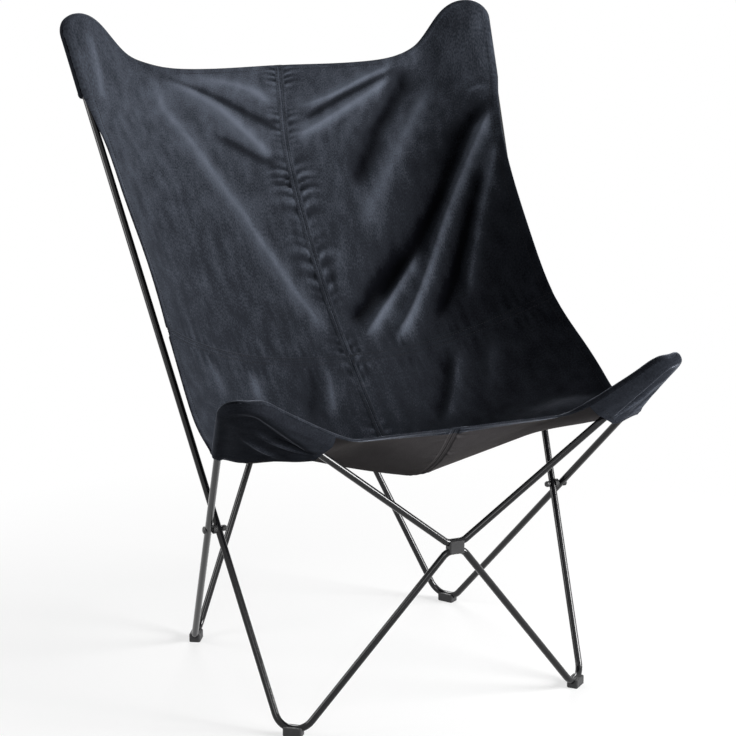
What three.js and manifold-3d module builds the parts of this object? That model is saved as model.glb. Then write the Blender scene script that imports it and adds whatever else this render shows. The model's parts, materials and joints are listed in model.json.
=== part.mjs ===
// A butterfly sling chair: two loops of bent steel rod that fold like scissors about a left-right
// axis through both side pivots, and a cloth sling slipped over the four bows of the loops.
// Millimetres, +Z up, the chair faces -Y. The origin is on the floor under the middle of the chair.
import * as THREE from 'three';
import { mergeVertices } from 'three/addons/utils/BufferGeometryUtils.js';
import Module from 'manifold-3d';

const wasm = await Module();
wasm.setup();

// Rod loops. Corners are where the straight runs would meet, given for the +X half of the chair.
const ROD_D = 10;
const CLEARANCE = 0.3;
const FRONT_BOW_X = 345;
const FRONT_BOW_Y = -337;
const FRONT_BOW_Z = 522;
const TALL_BOW_X = 354;
const TALL_BOW_Y = 352;
const TALL_BOW_Z = 988;
const FRONT_FOOT_X = 232;
const FRONT_FOOT_Y = -250;
const REAR_FOOT_Y = 170;
const FRONT_STOP_Y = -292;
const FRONT_STOP_Z = 255;
const REAR_STOP_Y = 255;
const REAR_STOP_Z = 451;
const FRONT_BOW_R = 31;
const TALL_BOW_R = 27;
const FOOT_R = 30;
const STOP_BEND_R = 17;
const STOP_BAR = 24;
const ROD_SIDES = 12;
const BEND_STEPS = 7;

// Foot glides, clipped under the foot bends
const GLIDE_LENGTH = 27;
const GLIDE_WIDTH = 17;
const GLIDE_HEIGHT = 13;
const GLIDE_BASE = 4;
const GLIDE_EDGE_R = 3;
const GLIDE_BEVEL = 1;

// Rest saddles, between the loops' crossbars at the front and the rear
const SADDLE_LENGTH = 22;
const SADDLE_WALL = 2.6;
const SADDLE_WEB = 1.8;
const SADDLE_MOUTH = 8.6;
const SADDLE_GRIP = 2.8;
const SADDLE_EDGE_R = 2;
const SADDLE_BEVEL = 0.5;

// Side pivots
const PIVOT_D = 5;
const PIVOT_RUNNING = 0.1;
const PIVOT_HEAD_D = 11;
const PIVOT_HEAD_H = 3.2;
const PIVOT_HEAD_RIM = 1.3;
const PIVOT_BITE = 2;
const SPACER_D = 13;
const SPACER_LENGTH = 4.4;
const NUT_D = 9;
const NUT_H = 7;
const NUT_RIM = 3.8;
const CROWN_SHARE = 0.7;

// Sling cloth
const CLOTH = 3;
const SEAM_GAP = 0.3;
const FRONT_POCKET_DEPTH = 152;
const TALL_POCKET_DEPTH = 186;
const POCKET_CLOTH = 2;
const POCKET_EASE = 0.8;
const POCKET_EDGE_R = 4;
const POCKET_DRAW = 75;
const POCKET_SPREAD = 40;
const PANEL_COLUMNS = 16;
const SEAT_STEPS = 18;
const BACK_STEPS = 22;

// Rows of the sling from its front hem to its top edge. The rows up to the front pockets' hems are
// measured from the corner of the front bow, those from the top pockets' hems on from the corner of
// the tall bow, and the rows between them from points evenly spaced on the line between the bows:
// middle of the cloth [y, z], its edge [x, y, z], and how late the row turns towards that edge in y
// and in z (a power of the distance from the middle).
const SLING_ROWS = [
  { middle: [47, -100], edge: [-9, 9, -14], turn: [1.2, 3.8] },
  { middle: [79, -138], edge: [-17, 54, -53], turn: [4.0, 2.0] },
  { middle: [122, -175], edge: [-27, 99, -100], turn: [4.4, 1.2] },
  { middle: [182, -202], edge: [-32, 138, -127], turn: [4.0, 1.0] },
  { middle: [144, -261], edge: [-29, 91, -163], turn: [3.8, 1.6] },
  { middle: [105, -292], edge: [-35, 52, -188], turn: [3.8, 2.3] },
  { middle: [101, -282], edge: [-44, 34, -198], turn: [4.1, 2.6] },
  { middle: [93, -266], edge: [-45, 13, -182], turn: [4.3, 2.8] },
  { middle: [85, -224], edge: [-39, -7, -165], turn: [4.5, 3.0] },
  { middle: [43, -201], edge: [-31, -49, -151], turn: [4.9, 3.4] },
  { middle: [-36, -205], edge: [-23, -99, -143], turn: [5.5, 4.0] },
  { middle: [-20, -143], edge: [-42, -36, -62], turn: [6.3, 4.8] },
];
const FRONT_HEM_ROW = 3;
const LUMBAR_ROW = 6;
const TOP_HEM_ROW = 10;

// Main folds of the cloth, as ridges between two points of a half panel: distance from the centre
// seam (0 to 1) and row number, then half width and height of the ridge
const FOLDS = [
  { from: [0.90, 10.4], to: [0.08, 7.3], width: 24, height: 7 },
  { from: [0.95, 9.4], to: [0.35, 6.2], width: 20, height: 6 },
  { from: [0.72, 10.1], to: [0.12, 9.0], width: 18, height: 5 },
  { from: [0.62, 7.6], to: [0.55, 6.1], width: 16, height: 5 },
  { from: [0.30, 5.8], to: [0.22, 4.0], width: 18, height: 5 },
  { from: [0.80, 1.2], to: [0.15, 3.0], width: 24, height: 6 },
];
const HALF_CLOTH_WIDTH = 330;
const ROW_LENGTH = 92;

const vec = (x, y, z) => new THREE.Vector3(x, y, z);
const rodR = ROD_D / 2;

// Conversions between three.js geometry and solids for cutting
function toSolid(geometry) {
  const bare = geometry.clone();
  bare.deleteAttribute('normal');
  bare.deleteAttribute('uv');
  const merged = mergeVertices(bare, 1e-4);
  const vertProperties = Float32Array.from(merged.attributes.position.array);
  const triVerts = Uint32Array.from(merged.index.array);
  return new wasm.Manifold(new wasm.Mesh({ numProp: 3, vertProperties, triVerts }));
}

function toGeometry(solid) {
  const mesh = solid.getMesh();
  const geometry = new THREE.BufferGeometry();
  geometry.setAttribute('position', new THREE.BufferAttribute(mesh.vertProperties, 3));
  geometry.setIndex(new THREE.BufferAttribute(mesh.triVerts, 1));
  geometry.computeVertexNormals();
  return geometry;
}

// Arc that rounds a corner between two straight runs
function bendAt(before, corner, after, radius) {
  const toBefore = before.clone().sub(corner).normalize();
  const toAfter = after.clone().sub(corner).normalize();
  const half = toBefore.angleTo(toAfter) / 2;
  const middle = toBefore.clone().add(toAfter).normalize();
  const centre = corner.clone().addScaledVector(middle, radius / Math.sin(half));
  const run = radius / Math.tan(half);
  const first = corner.clone().addScaledVector(toBefore, run).sub(centre);
  const last = corner.clone().addScaledVector(toAfter, run).sub(centre);
  const normal = toBefore.clone().cross(toAfter).normalize();
  return { centre, first, last, sweep: Math.PI - 2 * half, normal, radius };
}

function bendStation(bend, share) {
  const a = (1 - share) * bend.sweep;
  const b = share * bend.sweep;
  const scale = 1 / Math.sin(bend.sweep);
  const point = bend.centre.clone();
  point.addScaledVector(bend.first, Math.sin(a) * scale);
  point.addScaledVector(bend.last, Math.sin(b) * scale);
  const tangent = bend.last.clone().multiplyScalar(Math.cos(b));
  tangent.addScaledVector(bend.first, -Math.cos(a));
  return { point, tangent: tangent.normalize() };
}

// Lowest point of a bend, and the level direction along the rod there
function bendBottom(bend) {
  const down = vec(0, 0, -1);
  down.addScaledVector(bend.normal, -down.dot(bend.normal)).normalize();
  const point = bend.centre.clone().addScaledVector(down, bend.radius);
  const along = bend.normal.clone().cross(down).normalize();
  return { point, along };
}

// Centre line of a rod: straight runs with a round bend at each corner, sampled only in the bends
class BentRod extends THREE.Curve {
  constructor(start, corners, end) {
    super();
    const points = [start, ...corners.map((corner) => corner.at), end];
    this.bends = corners.map((corner, i) => bendAt(points[i], corner.at, points[i + 2], corner.r));
    const startWay = corners[0].at.clone().sub(start).normalize();
    const endWay = end.clone().sub(corners[corners.length - 1].at).normalize();
    this.stations = [{ point: start, tangent: startWay }];
    for (const bend of this.bends) {
      for (let i = 0; i <= BEND_STEPS; i += 1) {
        this.stations.push(bendStation(bend, i / BEND_STEPS));
      }
    }
    this.stations.push({ point: end, tangent: endWay });
  }

  get steps() {
    return this.stations.length - 1;
  }

  station(t) {
    return this.stations[Math.round(t * this.steps)];
  }

  getPoint(t, target = vec(0, 0, 0)) {
    return target.copy(this.station(t).point);
  }

  getSpacedPoints(divisions) {
    return this.getPoints(divisions);
  }

  getTangentAt(t, target = vec(0, 0, 0)) {
    return target.copy(this.station(t).tangent);
  }
}

function sweepRod(path, diameter) {
  const section = new THREE.Shape();
  for (let i = 0; i < ROD_SIDES; i += 1) {
    const angle = (i + 0.5) / ROD_SIDES * 2 * Math.PI;
    const x = diameter / 2 * Math.cos(angle);
    const y = diameter / 2 * Math.sin(angle);
    if (i === 0) {
      section.moveTo(x, y);
    } else {
      section.lineTo(x, y);
    }
  }
  return new THREE.ExtrudeGeometry(section, { steps: path.steps, extrudePath: path });
}

// Frame layout. The foot corners are set so that the foot bends stand on the glides, the seat
// loop's rear foot so that its side rod passes outside the back loop's, with the spacer between.
const footRodZ = GLIDE_BASE + CLEARANCE + rodR;
const frontBow = vec(FRONT_BOW_X, FRONT_BOW_Y, FRONT_BOW_Z);
const tallBow = vec(TALL_BOW_X, TALL_BOW_Y, TALL_BOW_Z);
const frontFoot = vec(FRONT_FOOT_X, FRONT_FOOT_Y, -FOOT_R);
const rearFoot = vec(FRONT_FOOT_X, REAR_FOOT_Y, -FOOT_R);
const barOffset = rodR + CLEARANCE + SADDLE_WEB / 2;
const loopStep = ROD_D + SPACER_LENGTH + 2 * CLEARANCE;
const SETTLE_PASSES = 8;

// Where two side rods cross, seen from the side
function sideCrossing(a0, a1, b0, b1) {
  const ay = a1.y - a0.y;
  const az = a1.z - a0.z;
  const by = b1.y - b0.y;
  const bz = b1.z - b0.z;
  const share = ((b0.y - a0.y) * bz - (b0.z - a0.z) * by) / (ay * bz - az * by);
  const point = a0.clone().lerp(a1, share);
  const otherShare = (point.z - b0.z) / bz;
  return { share, point, other: b0.clone().lerp(b1, otherShare) };
}

// The loops' crossbars at a stop lie one on the other, square to the way they part
function stopBars(y, z, pivot) {
  const part = vec(0, z - pivot.z, -(y - pivot.y)).normalize();
  const end = vec(STOP_BAR / 2, y, z);
  const seat = end.clone().addScaledVector(part, barOffset);
  const back = end.clone().addScaledVector(part, -barOffset);
  return { part, seat, back };
}

let crossing;
let frontStop;
let rearStop;
for (let pass = 0; pass < SETTLE_PASSES; pass += 1) {
  crossing = sideCrossing(tallBow, frontFoot, frontBow, rearFoot);
  const share = (crossing.point.z - frontBow.z) / (rearFoot.z - frontBow.z);
  rearFoot.x = frontBow.x + (crossing.point.x + loopStep - frontBow.x) / share;
  frontStop = stopBars(FRONT_STOP_Y, FRONT_STOP_Z, crossing.point);
  rearStop = stopBars(REAR_STOP_Y, REAR_STOP_Z, crossing.point);
  const frontBend = bendAt(frontStop.back, frontFoot, tallBow, FOOT_R);
  const rearBend = bendAt(frontBow, rearFoot, rearStop.seat, FOOT_R);
  frontFoot.z += footRodZ - bendBottom(frontBend).point.z;
  rearFoot.z += footRodZ - bendBottom(rearBend).point.z;
}
const pivot = crossing.point;

const barMiddle = (bar) => vec(CLEARANCE / 2, bar.y, bar.z);
const seatPath = new BentRod(barMiddle(frontStop.seat), [
  { at: frontStop.seat, r: STOP_BEND_R },
  { at: frontBow, r: FRONT_BOW_R },
  { at: rearFoot, r: FOOT_R },
  { at: rearStop.seat, r: STOP_BEND_R },
], barMiddle(rearStop.seat));
const backPath = new BentRod(barMiddle(frontStop.back), [
  { at: frontStop.back, r: STOP_BEND_R },
  { at: frontFoot, r: FOOT_R },
  { at: tallBow, r: TALL_BOW_R },
  { at: rearStop.back, r: STOP_BEND_R },
], barMiddle(rearStop.back));
const REAR_FOOT_BEND = 2;
const FRONT_FOOT_BEND = 1;

// Mirror image across the chair's middle, with its faces still pointing out
function mirrorImage(geometry) {
  const mirrored = geometry.index ? geometry.toNonIndexed() : geometry.clone();
  mirrored.deleteAttribute('uv');
  mirrored.scale(-1, 1, 1);
  const position = mirrored.attributes.position;
  for (let i = 0; i < position.count; i += 3) {
    const b = vec(0, 0, 0).fromBufferAttribute(position, i + 1);
    const c = vec(0, 0, 0).fromBufferAttribute(position, i + 2);
    position.setXYZ(i + 1, c.x, c.y, c.z);
    position.setXYZ(i + 2, b.x, b.y, b.z);
  }
  mirrored.computeVertexNormals();
  return mirrored;
}

// Turned pieces on the pivot axis: a profile of [radius, x] pairs turned about X
function turnedAboutX(profile, sides) {
  const points = profile.map(([radius, along]) => new THREE.Vector2(radius, along));
  const geometry = new THREE.LatheGeometry(points, sides);
  geometry.rotateZ(-Math.PI / 2);
  return geometry;
}

const innerRodX = pivot.x;
const outerRodX = pivot.x + loopStep;
const PIVOT_SIDES = 20;

// How far a side rod runs out sideways for each millimetre of its length, seen from the side
const sideLean = (a, b) => Math.abs(a.x - b.x) / Math.hypot(a.y - b.y, a.z - b.z);
const seatLean = sideLean(frontBow, rearFoot);
const backLean = sideLean(tallBow, frontFoot);

// Distance from a leaning rod's axis to a flat face of a given radius that turns beside it
const runningReach = (lean, radius) => rodR * Math.hypot(1, lean) + CLEARANCE + lean * radius;
const nutFaceX = innerRodX - runningReach(backLean, NUT_D / 2);

function atPivot(geometry) {
  return geometry.translate(0, pivot.y, pivot.z);
}

function pivotHole(diameter) {
  const hole = new THREE.CylinderGeometry(diameter / 2, diameter / 2, 4 * loopStep, PIVOT_SIDES);
  hole.rotateZ(Math.PI / 2);
  return atPivot(hole).translate(pivot.x, 0, 0);
}

function rodWithPivotHole(path) {
  const hole = toSolid(pivotHole(PIVOT_D + 2 * PIVOT_RUNNING));
  return toGeometry(toSolid(sweepRod(path, ROD_D)).subtract(hole));
}

// A pivot piece is hollowed where it bears on the rod that carries it
const seatRodSpace = toSolid(sweepRod(seatPath, ROD_D + 2 * CLEARANCE));
const backRodSpace = toSolid(sweepRod(backPath, ROD_D + 2 * CLEARANCE));

function pivotBolt() {
  const seatX = outerRodX + rodR - PIVOT_BITE;
  const topX = outerRodX + rodR + PIVOT_HEAD_H;
  const tipX = nutFaceX - NUT_H / 2;
  const headR = PIVOT_HEAD_D / 2;
  const head = turnedAboutX([
    [0, seatX],
    [headR, seatX],
    [headR, outerRodX + rodR + PIVOT_HEAD_RIM],
    [headR * CROWN_SHARE, outerRodX + rodR + PIVOT_HEAD_RIM + CROWN_SHARE * (PIVOT_HEAD_H - PIVOT_HEAD_RIM)],
    [0, topX],
  ], PIVOT_SIDES);
  const shank = turnedAboutX([
    [0, tipX],
    [PIVOT_D / 2, tipX],
    [PIVOT_D / 2, topX - PIVOT_HEAD_H / 2],
    [0, topX - PIVOT_HEAD_H / 2],
  ], PIVOT_SIDES);
  return toGeometry(toSolid(atPivot(head)).subtract(seatRodSpace).add(toSolid(atPivot(shank))));
}

function pivotSpacer() {
  const inside = PIVOT_D / 2 + PIVOT_RUNNING;
  const outside = SPACER_D / 2;
  const from = innerRodX + rodR - PIVOT_BITE;
  const to = outerRodX - runningReach(seatLean, outside);
  const profile = [[inside, from], [outside, from], [outside, to], [inside, to], [inside, from]];
  return toGeometry(toSolid(atPivot(turnedAboutX(profile, PIVOT_SIDES))).subtract(backRodSpace));
}

function capNut() {
  const tip = nutFaceX - NUT_H;
  const rim = nutFaceX - NUT_RIM;
  const inside = PIVOT_D / 2 + PIVOT_RUNNING;
  const roof = nutFaceX - NUT_H / 2 - CLEARANCE;
  const profile = [
    [0, tip],
    [NUT_D / 2 * CROWN_SHARE, rim - CROWN_SHARE * (NUT_H - NUT_RIM)],
    [NUT_D / 2, rim],
    [NUT_D / 2, nutFaceX],
    [inside, nutFaceX],
    [inside, roof],
    [0, roof],
  ];
  return atPivot(turnedAboutX(profile, PIVOT_SIDES));
}

// Block with rounded upright edges and a small bevel, centred on the origin in x and y
function softBlock(length, width, height, radius, bevel) {
  const x = length / 2 - bevel;
  const y = width / 2 - bevel;
  const r = radius - bevel;
  const outline = new THREE.Shape();
  outline.absarc(x - r, y - r, r, 0, Math.PI / 2);
  outline.absarc(r - x, y - r, r, Math.PI / 2, Math.PI);
  outline.absarc(r - x, r - y, r, Math.PI, 1.5 * Math.PI);
  outline.absarc(x - r, r - y, r, 1.5 * Math.PI, 2 * Math.PI);
  const geometry = new THREE.ExtrudeGeometry(outline, {
    depth: height - 2 * bevel,
    curveSegments: 3,
    bevelThickness: bevel,
    bevelSize: bevel,
    bevelSegments: 1,
  });
  return geometry.translate(0, 0, bevel);
}

function glide(path, rodSpace, bendNumber) {
  const bottom = bendBottom(path.bends[bendNumber]);
  const block = softBlock(GLIDE_LENGTH, GLIDE_WIDTH, GLIDE_HEIGHT, GLIDE_EDGE_R, GLIDE_BEVEL);
  block.rotateZ(Math.atan2(bottom.along.y, bottom.along.x));
  block.translate(bottom.point.x, bottom.point.y, 0);
  return toGeometry(toSolid(block).subtract(rodSpace));
}

// Rest saddle: snaps over the carrying crossbar and cradles the other one in an open channel.
// Made with the crossbars one above the other, then turned to the way they part.
function restSaddle(stop, y, z, carrierBelow) {
  const channel = ROD_D + 2 * CLEARANCE;
  const depth = channel + 2 * SADDLE_WALL;
  const reach = barOffset + SADDLE_GRIP;
  const block = softBlock(SADDLE_LENGTH, depth, 2 * reach, SADDLE_EDGE_R, SADDLE_BEVEL);
  block.translate(0, 0, -reach);
  const slot = (width, height) => {
    const box = new THREE.BoxGeometry(2 * SADDLE_LENGTH, width, 2 * rodR);
    return toSolid(box.translate(0, 0, height));
  };
  let solid = toSolid(block).subtract(slot(channel, barOffset + rodR));
  solid = solid.subtract(slot(SADDLE_MOUTH, -barOffset - rodR));
  const geometry = toGeometry(solid);
  const up = carrierBelow ? stop.part : stop.part.clone().negate();
  geometry.rotateX(Math.atan2(up.z, up.y) - Math.PI / 2);
  solid = toSolid(geometry.translate(0, y, z));
  for (const path of [seatPath, backPath]) {
    const bore = sweepRod(path, channel);
    solid = solid.subtract(toSolid(bore)).subtract(toSolid(mirrorImage(bore)));
  }
  return toGeometry(solid);
}

// Pockets: flat bags over the bows, open at the hem. The plane of a bow has its corner as origin,
// one axis down the middle of the bow and one across it, towards the side rod.
function bowPlane(corner, innerRodEnd, sideRodEnd) {
  const a = innerRodEnd.clone().sub(corner).normalize();
  const b = sideRodEnd.clone().sub(corner).normalize();
  const down = a.clone().add(b).normalize();
  const out = a.clone().cross(b).normalize();
  const across = out.clone().cross(down).normalize();
  const half = a.angleTo(b) / 2;
  const frame = new THREE.Matrix4().makeBasis(down, across, out).setPosition(corner);
  return { half, frame };
}

// Outline of a pocket in its bow plane, a margin outside the rod's centre line
function pocketOutline(bow, bendR, depth, margin) {
  const centreX = bendR / Math.sin(bow.half);
  const radius = bendR + margin;
  const turn = Math.PI / 2 + bow.half;
  const offset = margin / Math.cos(bow.half);
  const hemY = depth * Math.tan(bow.half) + offset;
  const outline = new THREE.Shape();
  outline.moveTo(depth, hemY);
  outline.lineTo(centreX + radius * Math.cos(turn), radius * Math.sin(turn));
  outline.absarc(centreX, 0, radius, turn, 2 * Math.PI - turn);
  outline.lineTo(depth, -hemY);
  outline.closePath();
  return outline;
}

function pocketSlab(bow, bendR, depth, margin, half, bevel) {
  const geometry = new THREE.ExtrudeGeometry(pocketOutline(bow, bendR, depth, margin - bevel), {
    depth: 2 * (half - bevel),
    curveSegments: 9,
    bevelEnabled: bevel > 0,
    bevelThickness: bevel,
    bevelSize: bevel,
    bevelSegments: 2,
  });
  geometry.translate(0, 0, bevel - half);
  return toSolid(geometry.applyMatrix4(bow.frame));
}

function pocket(bow, bendR, depth) {
  const inside = rodR + POCKET_EASE;
  const outside = inside + POCKET_CLOTH;
  const openHem = depth + 2 * POCKET_EDGE_R;
  const hemTrim = 2 * POCKET_EDGE_R;
  const outer = pocketSlab(bow, bendR, depth + hemTrim, outside, outside, POCKET_EDGE_R);
  const cavity = pocketSlab(bow, bendR, openHem + hemTrim, inside, inside, POCKET_EDGE_R - POCKET_CLOTH);
  const beyondHem = new THREE.BoxGeometry(4 * hemTrim, 4 * depth, 8 * outside);
  beyondHem.translate(depth + 2 * hemTrim, 0, 0);
  const trim = toSolid(beyondHem.applyMatrix4(bow.frame));
  return outer.subtract(cavity).subtract(trim);
}

// Space that a pocket takes out of the panels, well past both its faces, its tip and the side rod
function pocketSpace(bow, bendR, depth) {
  const outside = rodR + POCKET_EASE + POCKET_CLOTH + CLEARANCE;
  const hem = depth + CLEARANCE;
  const reach = 10 * outside;
  const tip = bendR / Math.sin(bow.half);
  const hemY = hem * Math.tan(bow.half);
  const beside = new THREE.Shape();
  beside.moveTo(-reach, -reach);
  beside.lineTo(tip, -reach);
  beside.lineTo(tip, 0);
  beside.lineTo(hem, hemY);
  beside.lineTo(hem, hemY + reach);
  beside.lineTo(-reach, hemY + reach);
  beside.closePath();
  const geometry = new THREE.ExtrudeGeometry(beside, { depth: 2 * reach, bevelEnabled: false });
  geometry.translate(0, 0, -reach);
  const past = toSolid(geometry.applyMatrix4(bow.frame));
  return pocketSlab(bow, bendR, hem, outside, reach, 0).add(past);
}

const frontBowPlane = bowPlane(frontBow, frontStop.seat, rearFoot);
const tallBowPlane = bowPlane(tallBow, rearStop.back, frontFoot);

// Sling surface: one curve through the rows' middles, one through their edges
const slingRows = SLING_ROWS.map((row, number) => {
  const share = (number - FRONT_HEM_ROW) / (TOP_HEM_ROW - FRONT_HEM_ROW);
  const carrier = frontBow.clone().lerp(tallBow, THREE.MathUtils.clamp(share, 0, 1));
  return {
    middle: vec(0, carrier.y + row.middle[0], carrier.z + row.middle[1]),
    edge: vec(...row.edge).add(carrier),
    turn: vec(...row.turn, 0),
  };
});
const middleLine = new THREE.CatmullRomCurve3(slingRows.map((row) => row.middle));
const edgeLine = new THREE.CatmullRomCurve3(slingRows.map((row) => row.edge));
const turnLine = new THREE.CatmullRomCurve3(slingRows.map((row) => row.turn));
const lastRow = slingRows.length - 1;

function foldHeight(side, row) {
  const x = Math.abs(side) * HALF_CLOTH_WIDTH;
  const y = row * ROW_LENGTH;
  let height = 0;
  for (const fold of FOLDS) {
    const x0 = fold.from[0] * HALF_CLOTH_WIDTH;
    const y0 = fold.from[1] * ROW_LENGTH;
    const dx = fold.to[0] * HALF_CLOTH_WIDTH - x0;
    const dy = fold.to[1] * ROW_LENGTH - y0;
    const length2 = dx * dx + dy * dy;
    const along = ((x - x0) * dx + (y - y0) * dy) / length2;
    const away = ((x - x0) * dy - (y - y0) * dx) / Math.sqrt(length2);
    const fade = Math.max(0, 1 - (2 * along - 1) ** 2);
    height += fold.height * fade * Math.exp(-((away / fold.width) ** 2));
  }
  return height;
}

// Near a bow the cloth is drawn against the pocket's inner layer, at a height above the bow's plane
const pocketLayer = rodR + POCKET_EASE + POCKET_CLOTH;

function drawnToBow(point, bow, depth, height) {
  const local = point.applyMatrix4(bow.frame.clone().invert());
  const past = local.x - depth;
  const beside = Math.abs(local.y) - local.x * Math.tan(bow.half);
  const along = 1 - THREE.MathUtils.smoothstep(past, 0, POCKET_DRAW);
  const across = 1 - THREE.MathUtils.smoothstep(beside, 0, POCKET_SPREAD);
  const away = 1 - THREE.MathUtils.smoothstep(Math.abs(local.z), POCKET_SPREAD, POCKET_DRAW);
  local.z += (height - local.z) * along * across * away;
  return local.applyMatrix4(bow.frame);
}

function restingPoint(side, row) {
  const share = row / lastRow;
  const middle = middleLine.getPoint(share);
  const edge = edgeLine.getPoint(share);
  const turn = turnLine.getPoint(share);
  const s = Math.abs(side);
  const y = middle.y + (edge.y - middle.y) * s ** turn.x;
  const z = middle.z + (edge.z - middle.z) * s ** turn.y;
  const point = vec(edge.x * side, y, z);
  drawnToBow(point, frontBowPlane, FRONT_POCKET_DEPTH, -pocketLayer);
  return drawnToBow(point, tallBowPlane, TALL_POCKET_DEPTH, pocketLayer);
}

function surfaceNormal(side, row) {
  const h = 0.01;
  const rowLow = Math.max(0, row - h);
  const rowHigh = Math.min(lastRow, row + h);
  const across = restingPoint(side + h, row).sub(restingPoint(side - h, row));
  const along = restingPoint(side, rowHigh).sub(restingPoint(side, rowLow));
  return across.cross(along).normalize();
}

function clothPoint(side, row, lift) {
  const normal = surfaceNormal(side, row);
  return restingPoint(side, row).addScaledVector(normal, foldHeight(side, row) + lift);
}

// One panel as a closed sheet: its two faces as grids, joined by a rim
function panelSheet(side0, side1, row0, row1, steps) {
  const columns = PANEL_COLUMNS;
  const positions = [];
  const index = [];
  const width = columns + 1;
  const layer = width * (steps + 1);
  for (const lift of [CLOTH / 2, -CLOTH / 2]) {
    for (let j = 0; j <= steps; j += 1) {
      for (let i = 0; i <= columns; i += 1) {
        const side = side0 + (side1 - side0) * i / columns;
        const row = row0 + (row1 - row0) * j / steps;
        positions.push(...clothPoint(side, row, lift).toArray());
      }
    }
  }
  const quad = (a, b, c, d) => index.push(a, b, c, a, c, d);
  for (let j = 0; j < steps; j += 1) {
    for (let i = 0; i < columns; i += 1) {
      const k = j * width + i;
      quad(k, k + 1, k + width + 1, k + width);
      quad(layer + k, layer + k + width, layer + k + width + 1, layer + k + 1);
    }
  }
  for (let i = 0; i < columns; i += 1) {
    const top = steps * width + i;
    quad(i, layer + i, layer + i + 1, i + 1);
    quad(top, top + 1, layer + top + 1, layer + top);
  }
  for (let j = 0; j < steps; j += 1) {
    const left = j * width;
    const right = left + columns;
    quad(left, left + width, layer + left + width, layer + left);
    quad(right, layer + right, layer + right + width, right + width);
  }
  const geometry = new THREE.BufferGeometry();
  geometry.setAttribute('position', new THREE.Float32BufferAttribute(positions, 3));
  geometry.setIndex(index);
  return geometry;
}

const seamSide = SEAM_GAP / 2 / HALF_CLOTH_WIDTH;
const seamRow = SEAM_GAP / 2 / ROW_LENGTH;

function seatPanel() {
  const sheet = panelSheet(seamSide, 1, 0, LUMBAR_ROW - seamRow, SEAT_STEPS);
  const space = pocketSpace(frontBowPlane, FRONT_BOW_R, FRONT_POCKET_DEPTH);
  return toGeometry(toSolid(sheet).subtract(space));
}

function backPanel() {
  const sheet = panelSheet(seamSide, 1, LUMBAR_ROW + seamRow, lastRow, BACK_STEPS);
  const space = pocketSpace(tallBowPlane, TALL_BOW_R, TALL_POCKET_DEPTH);
  return toGeometry(toSolid(sheet).subtract(space));
}

// Materials as the photograph shows them
const blackCoat = new THREE.MeshStandardMaterial({ color: 0x0b0b0c, roughness: 0.22, metalness: 0.3 });
const blackSteel = new THREE.MeshStandardMaterial({ color: 0x111113, roughness: 0.35, metalness: 0.6 });
const blackPlastic = new THREE.MeshStandardMaterial({ color: 0x131315, roughness: 0.55, metalness: 0 });
const blackVelvet = new THREE.MeshStandardMaterial({ color: 0x0d0e12, roughness: 0.85, metalness: 0 });

const chair = new THREE.Group();

function addMesh(name, geometry, material) {
  const mesh = new THREE.Mesh(geometry, material);
  mesh.name = name;
  chair.add(mesh);
}

// The +X piece is modelled, and its partner is its mirror image
function addPair(name, geometry, material) {
  addMesh(`${name}_left`, mirrorImage(geometry), material);
  addMesh(`${name}_right`, geometry, material);
}

addPair('seat_loop_rod', rodWithPivotHole(seatPath), blackCoat);
addPair('back_loop_rod', rodWithPivotHole(backPath), blackCoat);
addMesh('front_rest_saddle', restSaddle(frontStop, FRONT_STOP_Y, FRONT_STOP_Z, true), blackPlastic);
addMesh('rear_rest_saddle', restSaddle(rearStop, REAR_STOP_Y, REAR_STOP_Z, false), blackPlastic);
addPair('pivot_bolt', pivotBolt(), blackSteel);
addPair('pivot_spacer', pivotSpacer(), blackPlastic);
addPair('pivot_cap_nut', capNut(), blackSteel);
addPair('front_foot_glide', glide(backPath, backRodSpace, FRONT_FOOT_BEND), blackPlastic);
addPair('rear_foot_glide', glide(seatPath, seatRodSpace, REAR_FOOT_BEND), blackPlastic);
addPair('front_pocket', toGeometry(pocket(frontBowPlane, FRONT_BOW_R, FRONT_POCKET_DEPTH)), blackVelvet);
addPair('top_pocket', toGeometry(pocket(tallBowPlane, TALL_BOW_R, TALL_POCKET_DEPTH)), blackVelvet);
addPair('seat_panel', seatPanel(), blackVelvet);
addPair('back_panel', backPanel(), blackVelvet);

// The origin goes to the floor under the middle of the chair's box
const box = new THREE.Box3().setFromObject(chair);
chair.position.set(0, -(box.min.y + box.max.y) / 2, -box.min.z);

export default chair;
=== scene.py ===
# %% [markdown]
# # A folding butterfly chair
# Two loops of thin steel rod cross at the sides, and a velvet sling hangs from
# their four bows by sewn corner pockets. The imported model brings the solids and
# the hinge. This lesson gives each of them the surface of the real chair, in
# metres and in the same frame.

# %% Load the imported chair
import json
import math

import bpy
import numpy as np
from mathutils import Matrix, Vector, kdtree


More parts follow.
